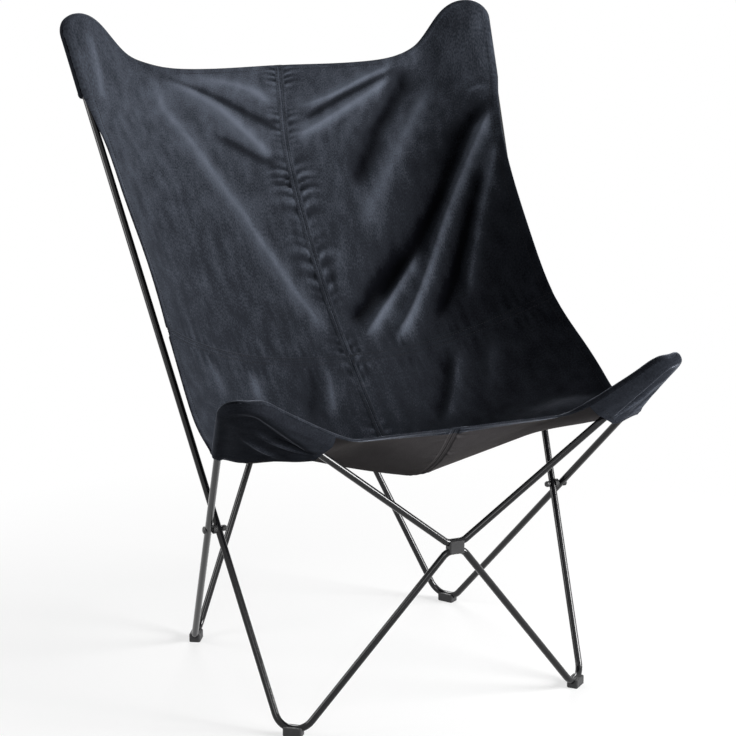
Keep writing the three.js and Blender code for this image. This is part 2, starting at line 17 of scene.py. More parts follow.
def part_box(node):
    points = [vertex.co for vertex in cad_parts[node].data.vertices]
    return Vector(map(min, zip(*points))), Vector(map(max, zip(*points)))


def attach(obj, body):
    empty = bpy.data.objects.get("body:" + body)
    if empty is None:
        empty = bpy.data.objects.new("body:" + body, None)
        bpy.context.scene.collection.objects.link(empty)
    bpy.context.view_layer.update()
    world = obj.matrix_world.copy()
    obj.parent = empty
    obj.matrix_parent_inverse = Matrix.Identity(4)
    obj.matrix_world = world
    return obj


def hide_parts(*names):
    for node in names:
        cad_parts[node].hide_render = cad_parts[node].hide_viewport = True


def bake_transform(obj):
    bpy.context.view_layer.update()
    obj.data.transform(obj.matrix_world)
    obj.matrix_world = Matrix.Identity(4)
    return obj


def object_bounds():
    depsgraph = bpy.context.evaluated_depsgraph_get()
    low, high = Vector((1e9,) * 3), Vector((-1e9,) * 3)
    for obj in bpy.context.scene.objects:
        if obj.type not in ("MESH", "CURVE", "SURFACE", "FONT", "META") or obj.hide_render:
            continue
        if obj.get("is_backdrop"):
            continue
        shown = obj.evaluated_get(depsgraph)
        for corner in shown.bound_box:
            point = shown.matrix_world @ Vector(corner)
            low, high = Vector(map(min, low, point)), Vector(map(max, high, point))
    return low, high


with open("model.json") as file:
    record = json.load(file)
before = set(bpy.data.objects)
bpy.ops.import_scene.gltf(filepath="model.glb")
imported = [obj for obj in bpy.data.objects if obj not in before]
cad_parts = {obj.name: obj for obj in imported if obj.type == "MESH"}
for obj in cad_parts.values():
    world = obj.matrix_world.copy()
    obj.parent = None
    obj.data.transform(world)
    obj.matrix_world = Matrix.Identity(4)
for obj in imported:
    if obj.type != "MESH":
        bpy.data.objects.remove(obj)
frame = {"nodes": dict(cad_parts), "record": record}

cad_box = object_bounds()

# %% [markdown]
# ## The camera
# A long lens stands a little above the seat and to the left of the chair. Its
# place was worked out from the feet and the bows, so it is written as a turn, a
# height angle and a distance. The focal length is given in pixels of the square
# picture and turned into millimetres of a 36 mm sensor.

# %% Camera
PICTURE_SIDE = 736
SENSOR = 36.0
FOCAL_PIXELS = 2220.0
PICTURE_MIDDLE = (366.4, 361.0)
AIM = Vector((0.0, -0.0039, 0.45))
CAMERA_DISTANCE = 3.230
CAMERA_TURN, CAMERA_RISE = math.radians(-24.39), math.radians(13.48)

lens = bpy.data.cameras.new("picture_camera")
lens.sensor_width = SENSOR
lens.lens = FOCAL_PIXELS * SENSOR / PICTURE_SIDE
lens.shift_x = 0.5 - PICTURE_MIDDLE[0] / PICTURE_SIDE
lens.shift_y = PICTURE_MIDDLE[1] / PICTURE_SIDE - 0.5
away = Vector((math.sin(CAMERA_TURN) * math.cos(CAMERA_RISE),
               -math.cos(CAMERA_TURN) * math.cos(CAMERA_RISE),
               math.sin(CAMERA_RISE)))
camera = bpy.data.objects.new("picture_camera", lens)
camera.location = AIM + away * CAMERA_DISTANCE
camera.rotation_euler = (-away).to_track_quat("-Z", "Y").to_euler()
bpy.context.scene.collection.objects.link(camera)
bpy.context.scene.camera = camera
bpy.context.scene.view_settings.view_transform = "Standard"
print("lens", round(lens.lens, 1), "mm, camera at", tuple(round(c, 3) for c in camera.location))

# %% [markdown]
# ## Building materials from nodes
# Each finish is a Principled shader. What is the same all over goes straight on
# the shader's sockets. What changes over the surface, such as a mottled roughness
# or a fine bump, comes from noise nodes. Small helpers place a noise, spread its
# values over a range, and turn them into a bump or into a colour.

# %% Material helpers
def new_finish(name, colour, roughness, **sockets):
    finish = bpy.data.materials.new(name)
    finish.use_nodes = True
    shader = finish.node_tree.nodes["Principled BSDF"]
    shader.inputs["Base Color"].default_value = (*colour, 1)
    shader.inputs["Roughness"].default_value = roughness
    for socket, value in sockets.items():
        shader.inputs[socket.replace("_", " ")].default_value = value
    return finish, finish.node_tree, shader


def noise_on(tree, coordinate, scale, detail=3.0, stretch=(1, 1, 1)):
    place = tree.nodes.new("ShaderNodeTexCoord")
    turn = tree.nodes.new("ShaderNodeMapping")
    turn.inputs["Scale"].default_value = stretch
    noise = tree.nodes.new("ShaderNodeTexNoise")
    noise.inputs["Scale"].default_value = scale
    noise.inputs["Detail"].default_value = detail
    tree.links.new(place.outputs[coordinate], turn.inputs["Vector"])
    tree.links.new(turn.outputs["Vector"], noise.inputs["Vector"])
    return noise.outputs["Fac"]


def between(tree, value, low, high, start=0.3, stop=0.7):
    spread = tree.nodes.new("ShaderNodeMapRange")
    for socket, number in zip(("From Min", "From Max", "To Min", "To Max"),
                              (start, stop, low, high)):
        spread.inputs[socket].default_value = number
    tree.links.new(value, spread.inputs["Value"])
    return spread.outputs["Result"]


def bump_from(tree, value, depth, strength, under=None):
    bump = tree.nodes.new("ShaderNodeBump")
    bump.inputs["Distance"].default_value = depth
    bump.inputs["Strength"].default_value = strength
    tree.links.new(value, bump.inputs["Height"])
    if under is not None:
        tree.links.new(under, bump.inputs["Normal"])
    return bump.outputs["Normal"]


def colour_between(tree, value, dark, light, start=0.3, stop=0.7):
    ramp = tree.nodes.new("ShaderNodeValToRGB")
    ramp.color_ramp.elements[0].position = start
    ramp.color_ramp.elements[1].position = stop
    ramp.color_ramp.elements[0].color = (*dark, 1)
    ramp.color_ramp.elements[1].color = (*light, 1)
    tree.links.new(value, ramp.inputs["Fac"])
    return ramp.outputs["Color"]


# %% [markdown]
# ## Finishes of the frame
# The rods wear a gloss black powder coat, which flows out with a faint orange
# peel. The bolts are satin black steel and the glides, spacers and saddles are
# matt moulded plastic. A flat colour would look like paint on a screen, so the
# roughness is mottled and a shallow bump breaks the reflections.

# %% Frame finishes
MOTTLE_SCALE, TONE_SCALE, TONE_DARK, TONE_LIGHT, PEEL_STRENGTH = 38.0, 120.0, 0.75, 1.3, 0.35


def coat_finish(name, colour, rough, peel, depth, **sockets):
    finish, tree, shader = new_finish(name, colour, sum(rough) / 2, **sockets)
    mottle = noise_on(tree, "Object", MOTTLE_SCALE)
    tree.links.new(between(tree, mottle, *rough), shader.inputs["Roughness"])
    tone = colour_between(tree, noise_on(tree, "Object", TONE_SCALE),
                          [c * TONE_DARK for c in colour], [c * TONE_LIGHT for c in colour])
    tree.links.new(tone, shader.inputs["Base Color"])
    skin = noise_on(tree, "Object", peel, 1.0)
    tree.links.new(bump_from(tree, skin, depth, PEEL_STRENGTH), shader.inputs["Normal"])
    return finish


POWDER_COAT = coat_finish("gloss_black_powder_coat", (0.007, 0.007, 0.008), (0.07, 0.13),
                          420.0, 0.0001, Specular_IOR_Level=0.24, Coat_Weight=0.12, Coat_Roughness=0.05)
SATIN_STEEL = coat_finish("satin_black_steel", (0.018, 0.018, 0.019), (0.3, 0.45), 900.0, 0.0001)
MATT_PLASTIC = coat_finish("matt_black_plastic", (0.015, 0.015, 0.016), (0.5, 0.68), 1300.0, 0.0002)

FINISH_OF_SLOT = {"frame_coat": POWDER_COAT, "black_steel": SATIN_STEEL, "black_plastic": MATT_PLASTIC}
hard_parts = [s for s in frame["record"]["subparts"] if s["material_slot"] in FINISH_OF_SLOT]
for subpart in hard_parts:
    node = frame["nodes"][subpart["node"]]
    node.data.materials.clear()
    node.data.materials.append(FINISH_OF_SLOT[subpart["material_slot"]])
print("finishes on", len(hard_parts), "solids")

# %% [markdown]
# ## Bending the rods
# A rod bender feeds straight stock and turns it round a die, and edit mode can do
# the same. A circle is the end of the stock, extrude feeds it and spin bends it
# round the die's centre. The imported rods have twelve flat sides, so these rounder
# ones stand in for them. Without a window, spin turns against the right hand, so
# its angle is negative.

# %% Rod corners
MM = 0.001
FRAME_SHIFT = np.array([0.0, -3.92, 0.0])
ROD_RADIUS = 0.005
ROUND_SIDES = 24
BEND_STEPS = 14


def spot(x, y, z):
    return (np.array([x, y, z], float) + FRAME_SHIFT) * MM


FRONT_BOW, TALL_BOW = spot(345, -337, 522), spot(354, 352, 988)
FRONT_FOOT, REAR_FOOT = spot(232, -250, -20.15), spot(214.48, 170, -16.58)
FRONT_BOW_BEND, TALL_BOW_BEND, FOOT_BEND, STOP_BEND = 0.031, 0.027, 0.030, 0.017
SEAT_FRONT_BAR, BACK_FRONT_BAR = spot(12, -292, 261.2), spot(12, -292, 248.8)
SEAT_REAR_BAR, BACK_REAR_BAR = spot(12, 258.09, 445.63), spot(12, 251.91, 456.37)
BAR_GAP = 0.00015


# %% The bender
def bend_at(before, corner, after, radius):
    towards, onwards = (before - corner).normalized(), (after - corner).normalized()
    half = towards.angle(onwards) / 2
    run = radius / math.tan(half)
    middle = corner + (towards + onwards).normalized() * radius / math.sin(half)
    first, last = corner + towards * run, corner + onwards * run
    axis = (first - middle).cross(last - middle).normalized()
    return first, last, middle, axis, math.pi - 2 * half


def bent_rod(name, corners, radii):
    corners = [Vector(c) for c in corners]
    feed = (corners[1] - corners[0]).to_track_quat("Z", "Y").to_euler()
    bpy.ops.object.select_all(action="DESELECT")
    bpy.ops.mesh.primitive_circle_add(vertices=ROUND_SIDES, radius=ROD_RADIUS,
                                      location=corners[0], rotation=feed)
    rod = bpy.context.object
    rod.name = rod.data.name = name
    bpy.ops.object.mode_set(mode="EDIT")
    bpy.ops.mesh.select_all(action="SELECT")
    end = corners[0]
    for before, corner, after, radius in zip(corners, corners[1:], corners[2:], radii):
        first, last, middle, axis, sweep = bend_at(before, corner, after, radius)
        bpy.ops.mesh.extrude_region_move(TRANSFORM_OT_translate={"value": first - end})
        bpy.ops.mesh.spin(steps=BEND_STEPS, angle=-sweep, center=middle, axis=axis)
        end = last
    bpy.ops.mesh.extrude_region_move(TRANSFORM_OT_translate={"value": corners[-1] - end})
    bpy.ops.mesh.select_all(action="SELECT")
    bpy.ops.mesh.remove_doubles(threshold=1e-6)
    bpy.ops.mesh.select_all(action="DESELECT")
    bpy.ops.mesh.select_non_manifold()
    bpy.ops.mesh.edge_face_add()
    bpy.ops.mesh.select_all(action="SELECT")
    bpy.ops.mesh.normals_make_consistent(inside=False)
    bpy.ops.object.mode_set(mode="OBJECT")
    bpy.ops.object.transform_apply(location=True, rotation=True, scale=True)
    bpy.ops.object.shade_smooth_by_angle(angle=math.radians(40))
    rod.data.materials.append(POWDER_COAT)
    return rod


# %% Two loops, each in a left and a right half
MIRRORED = np.array([-1.0, 1.0, 1.0])


def bar_end(bar):
    return np.array([BAR_GAP, bar[1], bar[2]])


LOOPS = {
    "seat_loop": ([bar_end(SEAT_FRONT_BAR), SEAT_FRONT_BAR, FRONT_BOW, REAR_FOOT,
                   SEAT_REAR_BAR, bar_end(SEAT_REAR_BAR)],
                  [STOP_BEND, FRONT_BOW_BEND, FOOT_BEND, STOP_BEND]),
    "back_loop": ([bar_end(BACK_FRONT_BAR), BACK_FRONT_BAR, FRONT_FOOT, TALL_BOW,
                   BACK_REAR_BAR, bar_end(BACK_REAR_BAR)],
                  [STOP_BEND, FOOT_BEND, TALL_BOW_BEND, STOP_BEND]),
}
for loop, (corners, radii) in LOOPS.items():
    for side, turn in (("left", MIRRORED), ("right", np.ones(3))):
        rod = bent_rod(f"{loop}_round_rod_{side}", [c * turn for c in corners], radii)
        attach(rod, loop)
        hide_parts(f"{loop}_rod_{side}")
        low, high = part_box(f"{loop}_rod_{side}")
        reach = [max(v.co[i] for v in rod.data.vertices) - high[i] for i in range(3)]
        print(rod.name, len(rod.data.polygons), "faces, off the solid by",
              [round(r * 1000, 2) for r in reach], "mm")

# %% [markdown]
# ## The cloth's pattern
# The sling is cut from four panels, sewn along the middle and across the back of
# the seat. A point of the cloth has two numbers: how far it lies from the middle
# seam to the side edge, and its row from the front hem to the top hem. Each row
# has a low middle, a higher side edge and a number that says how sharply it turns
# up. Smooth curves through the rows give the resting shape of the cloth.

# %% A smooth curve through points
def smooth_curve(knots, points, at):
    knots, points, at = (np.asarray(a, float) for a in (knots, points, at))
    gaps = np.diff(knots)
    system, pull = np.eye(len(knots)), np.zeros_like(points)
    for i in range(1, len(knots) - 1):
        system[i, i - 1:i + 2] = gaps[i - 1], 2 * (gaps[i - 1] + gaps[i]), gaps[i]
        after, before = points[i + 1] - points[i], points[i] - points[i - 1]
        pull[i] = 6 * (after / gaps[i] - before / gaps[i - 1])
    bend = np.linalg.solve(system, pull)
    k = np.clip(np.searchsorted(knots, at, side="right") - 1, 0, len(gaps) - 1)
    gap = gaps[k][..., None]
    a = (knots[k + 1] - at)[..., None] / gap
    b = 1 - a
    sag = ((a**3 - a) * bend[k] + (b**3 - b) * bend[k + 1]) * gap**2 / 6
    return a * points[k] + b * points[k + 1] + sag


# %% Rows of the sling: middle (y, z), side edge (x, y, z), turn (y, z)
SLING_ROWS = np.array([
    (-290, 422, 336, -328, 508, 1.2, 3.8),
    (-258, 384, 328, -283, 469, 4.0, 2.0),
    (-215, 347, 318, -238, 422, 4.4, 1.2),
    (-155, 320, 313, -199, 414, 4.0, 1.2),
    (-95, 328, 317, -148, 447, 3.8, 1.9),
    (-35, 363, 313, -88, 467, 3.8, 2.3),
    (59, 440, 305, -8, 524, 4.1, 2.6),
    (150, 522, 305, 70, 606, 4.3, 2.8),
    (240, 631, 312, 148, 690, 4.5, 3.0),
    (297, 720, 322, 205, 770, 4.9, 3.4),
    (316, 783, 331, 253, 845, 5.5, 4.0),
    (332, 845, 312, 316, 926, 6.3, 4.8),
], float)
ROW_NUMBERS = np.arange(12.0)
LAST_ROW, LUMBAR_ROW = 11.0, 6.0
HALF_WIDTH, ROW_LENGTH = 0.330, 0.084


def resting_cloth(share, row):
    m_y, m_z, e_x, e_y, e_z, turn_y, turn_z = np.moveaxis(
        smooth_curve(ROW_NUMBERS, SLING_ROWS, row), -1, 0)
    y = m_y + (e_y - m_y) * share**turn_y
    z = m_z + (e_z - m_z) * share**turn_z
    return (np.stack([e_x * share, y, z], -1) + FRAME_SHIFT) * MM


# %% [markdown]
# ## Where the bows hold the cloth
# Each bow lies in a plane of its own. Inside a pocket the cloth is drawn into that
# plane, and the pocket's edge runs round the bend of the rod and along both of its
# legs. These helpers turn points into the plane and back, and give that edge.

# %% The planes of the bows
SEAT_MIDDLE = np.array([0.0, 0.0, 0.6])
LAYER = 0.0076


def unit(vector):
    return vector / np.linalg.norm(vector)


def bow_plane(corner, inner, side, bend, depth, margin):
    to_inner, to_side = unit(inner - corner), unit(side - corner)
    down, across = unit(to_inner + to_side), unit(to_side - to_inner)
    inward = np.cross(down, across)
    inward = inward * np.sign(inward @ (SEAT_MIDDLE - corner))
    half = math.acos(to_inner @ to_side) / 2
    return dict(corner=corner, axes=np.stack([down, across, inward]), half=half,
                bend=bend, depth=depth, margin=margin)


def in_plane(bow, points):
    return (points - bow["corner"]) @ bow["axes"].T


def from_plane(bow, flat):
    return bow["corner"] + flat @ bow["axes"]


def pocket_edge(bow, side, share):
    half, reach = bow["half"], bow["bend"] + bow["margin"]
    centre = bow["bend"] / math.sin(half)
    arc = reach * (math.pi / 2 - half)
    straight = (bow["depth"] - centre + reach * math.sin(half)) / math.cos(half)
    run = np.asarray(share, float) * (arc + straight)
    turn, past = np.minimum(run, arc) / reach, np.maximum(run - arc, 0)
    down = centre - reach * np.cos(turn) + past * math.cos(half)
    across = side * (reach * np.sin(turn) + past * math.sin(half))
    return from_plane(bow, np.stack([down, across, 0 * down], -1))


SEAT_BOW = bow_plane(FRONT_BOW, SEAT_FRONT_BAR, REAR_FOOT, FRONT_BOW_BEND, 0.150, 0.0090)
BACK_BOW = bow_plane(TALL_BOW, BACK_REAR_BAR, FRONT_FOOT, TALL_BOW_BEND, 0.186, 0.0080)
SEAT_TIP, BACK_TIP = pocket_edge(SEAT_BOW, 1, 0), pocket_edge(BACK_BOW, 1, 0)
print("pocket tips at", SEAT_TIP.round(3), BACK_TIP.round(3))

# %% [markdown]
# ## The sling's outline
# The front and top edges leave the rod soon after the tip of a pocket and swing
# across to the middle in one sweep, so they are curves through a few measured
# points and a few points of the pocket's edge. The side edge follows the rod as
# far as the pocket's hem and hangs free from there to the other pocket.

# %% Front, top and side edges
FRONT_FREE = [(0, -290, 421), (68, -293, 422), (135, -304, 425), (163, -313, 428.5), (186, -320, 436.5),
              (211, -324, 449), (240, -327, 465), (269, -331, 481.5), (292, -334, 494)]
TOP_FREE = [(0, 332, 848), (73, 328, 847.5), (145, 323, 849), (190, 322, 854), (222, 329, 862.5),
            (243, 337, 873), (264, 341, 895.5), (284, 342, 918.5), (300, 339, 930.5), (316, 334.5, 935.5)]
SIDE_FREE = [(317, -174, 412), (317, -148, 426), (313, -88, 467), (305, -8, 524),
             (305, 70, 606), (312, 148, 690), (321, 202, 762)]
SIDE_FREE_ROWS = [3.45, 4.0, 5.0, 6.0, 7.0, 8.0, 9.0]
FRONT_HEM_ROW, TOP_HEM_ROW = 2.45, 10.0
EDGE_SHARES, EDGE_JOIN = np.linspace(0, 0.5, 13), 0.015


def cross_edge(free, bow, tip):
    spots = [spot(*p) for p in free]
    held = [p for p in pocket_edge(bow, -1, EDGE_SHARES)[::-1] if p[0] > spots[-1][0] + EDGE_JOIN]
    line = np.array([p * MIRRORED for p in spots[:0:-1]] + spots + held)
    return line[:, 0] / tip[0], line


FRONT_LINE = cross_edge(FRONT_FREE, SEAT_BOW, SEAT_TIP)
TOP_LINE = cross_edge(TOP_FREE, BACK_BOW, BACK_TIP)


def front_edge(share):
    return smooth_curve(*FRONT_LINE, share)


def top_edge(share):
    return smooth_curve(*TOP_LINE, share)


def side_edge(row):
    low = pocket_edge(SEAT_BOW, 1, np.clip(row / FRONT_HEM_ROW, 0, 1))
    high = pocket_edge(BACK_BOW, 1, np.clip((LAST_ROW - row) / (LAST_ROW - TOP_HEM_ROW), 0, 1))
    line = np.array([pocket_edge(SEAT_BOW, 1, 1), *[spot(*p) for p in SIDE_FREE],
                     pocket_edge(BACK_BOW, 1, 1)])
    rows = [FRONT_HEM_ROW, *SIDE_FREE_ROWS, TOP_HEM_ROW]
    free = smooth_curve(rows, line, np.clip(row, FRONT_HEM_ROW, TOP_HEM_ROW))
    row = np.asarray(row)[..., None]
    return np.where(row <= FRONT_HEM_ROW, low, np.where(row >= TOP_HEM_ROW, high, free))


# %% [markdown]
# ## Fitting the cloth to its outline
# The resting shape is drawn into the planes of the bows near the pockets, and is
# then moved so that its border lies on the outline. The move is full at the border
# and fades towards the middle of the cloth, as a patch is eased into a frame.

# %% Cloth inside its outline
POCKET_DRAW, POCKET_SPREAD, PLANE_REACH = 0.12, 0.06, 0.10
FRONT_EASE, TOP_EASE, SIDE_EASE = 2.2, 1.8, 0.45


def rise(value, start, stop):
    t = np.clip((value - start) / (stop - start), 0, 1)
    return t * t * (3 - 2 * t)


def beyond_edge(bow, flat):
    half, centre = bow["half"], bow["bend"] / math.sin(bow["half"])
    down, beside = flat[..., 0], np.abs(flat[..., 1])
    flank = beside * math.cos(half) - down * math.sin(half) - bow["margin"]
    bend = np.hypot(down - centre, beside) - bow["bend"] - bow["margin"]
    on_bend = down * math.cos(half) + beside * math.sin(half) < centre * math.cos(half)
    return np.where(on_bend, bend, flank)


def pocket_hold(bow, points):
    flat = in_plane(bow, points)
    hold = 1 - rise(flat[..., 0] - bow["depth"], 0, POCKET_DRAW)
    hold = hold * (1 - rise(beyond_edge(bow, flat), 0, POCKET_SPREAD))
    return flat, hold * (1 - rise(np.abs(flat[..., 2]), 0, PLANE_REACH))


def drawn_cloth(share, row):
    points = resting_cloth(share, row)
    for bow in (SEAT_BOW, BACK_BOW):
        flat, hold = pocket_hold(bow, points)
        flat[..., 2] *= 1 - hold
        points = from_plane(bow, flat)
    return points


def fitted_cloth(share, row):
    whole = np.ones_like(share)
    front = front_edge(share) - drawn_cloth(share, 0 * row)
    top = top_edge(share) - drawn_cloth(share, LAST_ROW + 0 * row)
    side = side_edge(row) - drawn_cloth(whole, row)
    near_front = (1 - rise(row, 0, FRONT_EASE))[..., None]
    near_top = rise(row, LAST_ROW - TOP_EASE, LAST_ROW)[..., None]
    near_side = rise(share, 1 - SIDE_EASE, 1)[..., None]
    front_corner = SEAT_TIP - drawn_cloth(whole, 0 * row)
    top_corner = BACK_TIP - drawn_cloth(whole, LAST_ROW + 0 * row)
    across = near_front * front + near_top * top
    corner = near_front * front_corner + near_top * top_corner
    return drawn_cloth(share, row) + across + near_side * (side - corner)


# %% The grid of one half
COLUMNS, SEAT_LINES, BACK_LINES = 110, 170, 190
CROWDING = 0.62


def crowded(count):
    t = np.linspace(0, 1, count + 1)
    return t - CROWDING * np.sin(2 * math.pi * t) / (2 * math.pi)


SHARES = crowded(COLUMNS)
ROWS = np.concatenate([LUMBAR_ROW * crowded(SEAT_LINES),
                       LUMBAR_ROW + (LAST_ROW - LUMBAR_ROW) * crowded(BACK_LINES)[1:]])
GRID_SHARE, GRID_ROW = np.meshgrid(SHARES, ROWS)
flat_cloth = fitted_cloth(GRID_SHARE, GRID_ROW)
print("cloth grid", flat_cloth.shape, "reaches", flat_cloth.max((0, 1)).round(3))

# %% [markdown]
# ## Folds, puckers and pressed seams
# Velvet pulled between four corners throws long soft folds, and every row of
# stitching gathers the cloth a little. A cloth simulation would place the folds
# where it likes, so they are drawn instead: each fold is a line on the pattern
# with a width and a height, and the puckers are waves that die out beside a seam.

# %% Folds: height and width in mm, then points as (share to the right, row)
FOLDS = [
    (4.2, 12, (-0.62, 10.85), (-0.46, 9.0), (-0.27, 7.7), (-0.06, 6.33)),
    (6.0, 14, (-0.59, 10.8), (-0.35, 10.18), (-0.21, 9.45), (-0.08, 8.83)),
    (5.0, 12, (-0.56, 10.93), (-0.24, 10.62), (-0.04, 10.03)),
    (-4.5, 7, (-0.6, 10.85), (-0.35, 10.4), (-0.16, 9.85), (-0.02, 9.45)),
    (-4.0, 7, (-0.37, 9.5), (-0.19, 8.97), (-0.03, 8.68)),
    (6.0, 9, (0.59, 10.88), (0.4, 10.6), (0.24, 10.25), (0.05, 9.95)),
    (-5.0, 7, (0.58, 10.75), (0.31, 10.23), (0.08, 9.62)),
    (6.0, 12, (0.56, 10.68), (0.35, 10.05), (0.15, 9.5), (0.03, 9.25)),
    (-7.0, 14, (0.63, 10.8), (0.52, 9.8), (0.41, 8.85), (0.3, 8.33)),
    (2.8, 18, (0.73, 10.28), (0.6, 9.05), (0.43, 8.22), (0.29, 7.75)),
    (-6.5, 12, (0.96, 9.58), (0.84, 8.7), (0.72, 7.98), (0.51, 7.4), (0.21, 6.73)),
    (9.0, 11, (0.99, 9.4), (0.88, 8.43), (0.74, 7.73), (0.58, 7.12), (0.39, 6.5), (0.26, 6.2)),
    (5.0, 9, (1.0, 8.83), (0.93, 8.08), (0.86, 7.55), (0.78, 7.03), (0.66, 6.35)),
    (-5.0, 9, (0.93, 8.3), (0.79, 7.45), (0.65, 6.83), (0.49, 6.3)),
    (-8.0, 10, (0.53, 7.48), (0.35, 7.18), (0.18, 6.8), (0.06, 6.53)),
    (7.0, 9, (0.57, 7.35), (0.42, 7.03), (0.26, 6.65), (0.1, 6.25)),
    (1.5, 6, (0.19, 7.68), (0.11, 7.35), (0.09, 7.05)),
    (-1.5, 6, (0.06, 7.45), (0.06, 7.15), (0.05, 6.85)),
    (3.0, 10, (-0.13, 5.98), (-0.17, 5.55), (-0.22, 4.95)),
    (-3.2, 11, (-0.21, 5.97), (-0.26, 5.55), (-0.36, 4.95)),
    (3.4, 13, (0.58, 5.93), (0.45, 5.35), (0.3, 4.6)),
    (-3.6, 13, (0.5, 5.93), (0.41, 5.4), (0.25, 4.7)),
    (2.6, 13, (0.73, 5.93), (0.65, 5.45), (0.56, 4.95)),
    (3.0, 13, (-0.54, 5.96), (-0.56, 5.5), (-0.57, 4.95)),
    (2.4, 12, (-0.75, 5.93), (-0.77, 5.5), (-0.79, 5.0)),
    (2.5, 4, (0.88, 9.72), (0.92, 9.75), (0.99, 9.78)),
    (3.0, 8, (-0.89, 10.88), (-0.93, 10.2), (-0.96, 9.78)),
]
FOLD_TAPER, FOLD_SAMPLES = 0.04, 25
CREST_ROUND, CREST_FALL = 0.35, 0.58


def fold_height(across, along):
    height = np.zeros_like(across)
    for lift, width, *line in FOLDS:
        line = np.array(line) * (HALF_WIDTH, ROW_LENGTH)
        path = smooth_curve(np.linspace(0, 1, len(line)), line, np.linspace(0, 1, FOLD_SAMPLES))
        near = np.full(across.shape, 1e9)
        place = np.zeros_like(across)
        for i, (start, run) in enumerate(zip(path, np.diff(path, axis=0))):
            part = ((across - start[0]) * run[0] + (along - start[1]) * run[1]) / (run @ run)
            part = np.clip(part, 0, 1)
            gap = np.hypot(across - start[0] - part * run[0], along - start[1] - part * run[1])
            closer = gap < near
            near = np.where(closer, gap, near)
            place = np.where(closer, (i + part) / (len(path) - 1), place)
        taper = min(0.5, FOLD_TAPER / np.linalg.norm(np.diff(path, axis=0), axis=1).sum())
        ends = rise(place, 0, taper) * (1 - rise(place, 1 - taper, 1))
        crest = np.hypot(near / (width * MM), CREST_ROUND) - CREST_ROUND
        height += lift * MM * np.exp(-crest / CREST_FALL) * ends
    return height


# %% Seam puckers
SEAM_TOPSTITCH = 0.0037
SEAM_BAND, SEAM_PAD, SEAM_STEP = 0.0052, 0.0013, 0.0014
PUCKER, PUCKER_WAVE, PUCKER_REACH, PUCKER_SLANT = 0.0034, 0.0135, 0.021, 0.55
PUCKER_CURL, RIGHT_SHIFT, SEAM_CLEAR = 9.0, 0.005, 0.005
CRUMPLE_ROWS = (7.0, 7.6, 8.6, 9.2)
GATHER, GATHER_WAVE, GATHER_REACH = 0.0016, 0.0125, 0.013
STITCH_PRESS, STITCH_GROOVE = 0.0006, 0.0008


def uneven_wave(run, wave):
    turn = 2 * math.pi * run / wave
    swell = 0.55 + 0.45 * np.sin(turn * 0.137 + 0.8)
    return swell * (np.sin(turn + 1.4 * np.sin(turn * 0.21)) + 0.45 * np.sin(turn * 0.43 + 2.0))


def seam_puckers(across, along):
    beside, off = np.abs(across), np.abs(along - LUMBAR_ROW * ROW_LENGTH)
    row = along / ROW_LENGTH
    crumpled = rise(row, *CRUMPLE_ROWS[:2]) * (1 - rise(row, *CRUMPLE_ROWS[2:]))
    shift = np.where(across > 0, RIGHT_SHIFT, 0.0)
    slanted = along - PUCKER_SLANT * beside + PUCKER_CURL * beside**2 + shift
    strength = 0.35 + 0.3 * rise(row, 6, 7.5) + 0.55 * crumpled
    pucker = PUCKER * uneven_wave(slanted, PUCKER_WAVE) * strength
    pucker *= np.exp(-(beside / (PUCKER_REACH * (0.9 + 0.4 * crumpled)))**2)
    pucker *= rise(beside, SEAM_BAND, SEAM_BAND + SEAM_CLEAR)
    gather = GATHER * uneven_wave(across, GATHER_WAVE) * np.exp(-off / GATHER_REACH)
    return pucker + gather * rise(off, SEAM_BAND, SEAM_BAND + 0.004)


def seam_bands(across, along):
    height = np.zeros_like(across)
    for gap in (np.abs(across), np.abs(along - LUMBAR_ROW * ROW_LENGTH)):
        height = np.maximum(height, SEAM_PAD * (1 - rise(gap, SEAM_BAND, SEAM_BAND + SEAM_STEP)))
    for gap in (np.abs(across), np.abs(along - LUMBAR_ROW * ROW_LENGTH)):
        for line in (0.0, SEAM_TOPSTITCH):
            height -= STITCH_PRESS * np.exp(-((gap - line) / STITCH_GROOVE)**2)
    return height


# %% [markdown]
# ## From a flat pattern to thick cloth
# Inside a pocket the panel lies on the sitter's side of the rod and rounds over it
# at the edge, so it is lifted from the bow's plane by a quarter circle. Then folds
# and puckers push it along its own normal. The thickness is kept as a second grid
# behind the first, with a doubled hem along every edge. Each point also gets a
# number of painted light: a painted highlight on a crest and lighter towards the
# top, painted shade in a hollow and on the half that faces left.

# %% Cloth layers
CLOTH, HEM_EXTRA, HEM_WIDTH = 0.0017, 0.0013, 0.011
FADE_PAST_HEM, PANEL_BAG_REACH = 0.06, 0.035


def edge_gap(points, lines):
    rim = np.concatenate(lines)
    tree = kdtree.KDTree(len(rim))
    for i, p in enumerate(rim):
        tree.insert(p, i)
    tree.balance()
    flat = points.reshape(-1, 3)
    return np.array([tree.find(p)[2] for p in flat]).reshape(points.shape[:-1])


def rounded_lift(gap):
    return LAYER * np.sqrt(1 - (1 - np.clip(gap / LAYER, 0, 1))**2)


def grid_normals(points):
    down, across = np.gradient(points, axis=0), np.gradient(points, axis=1)
    normals = np.cross(across, down)
    length = np.linalg.norm(normals, axis=-1, keepdims=True)
    return normals / np.maximum(length, 1e-12)


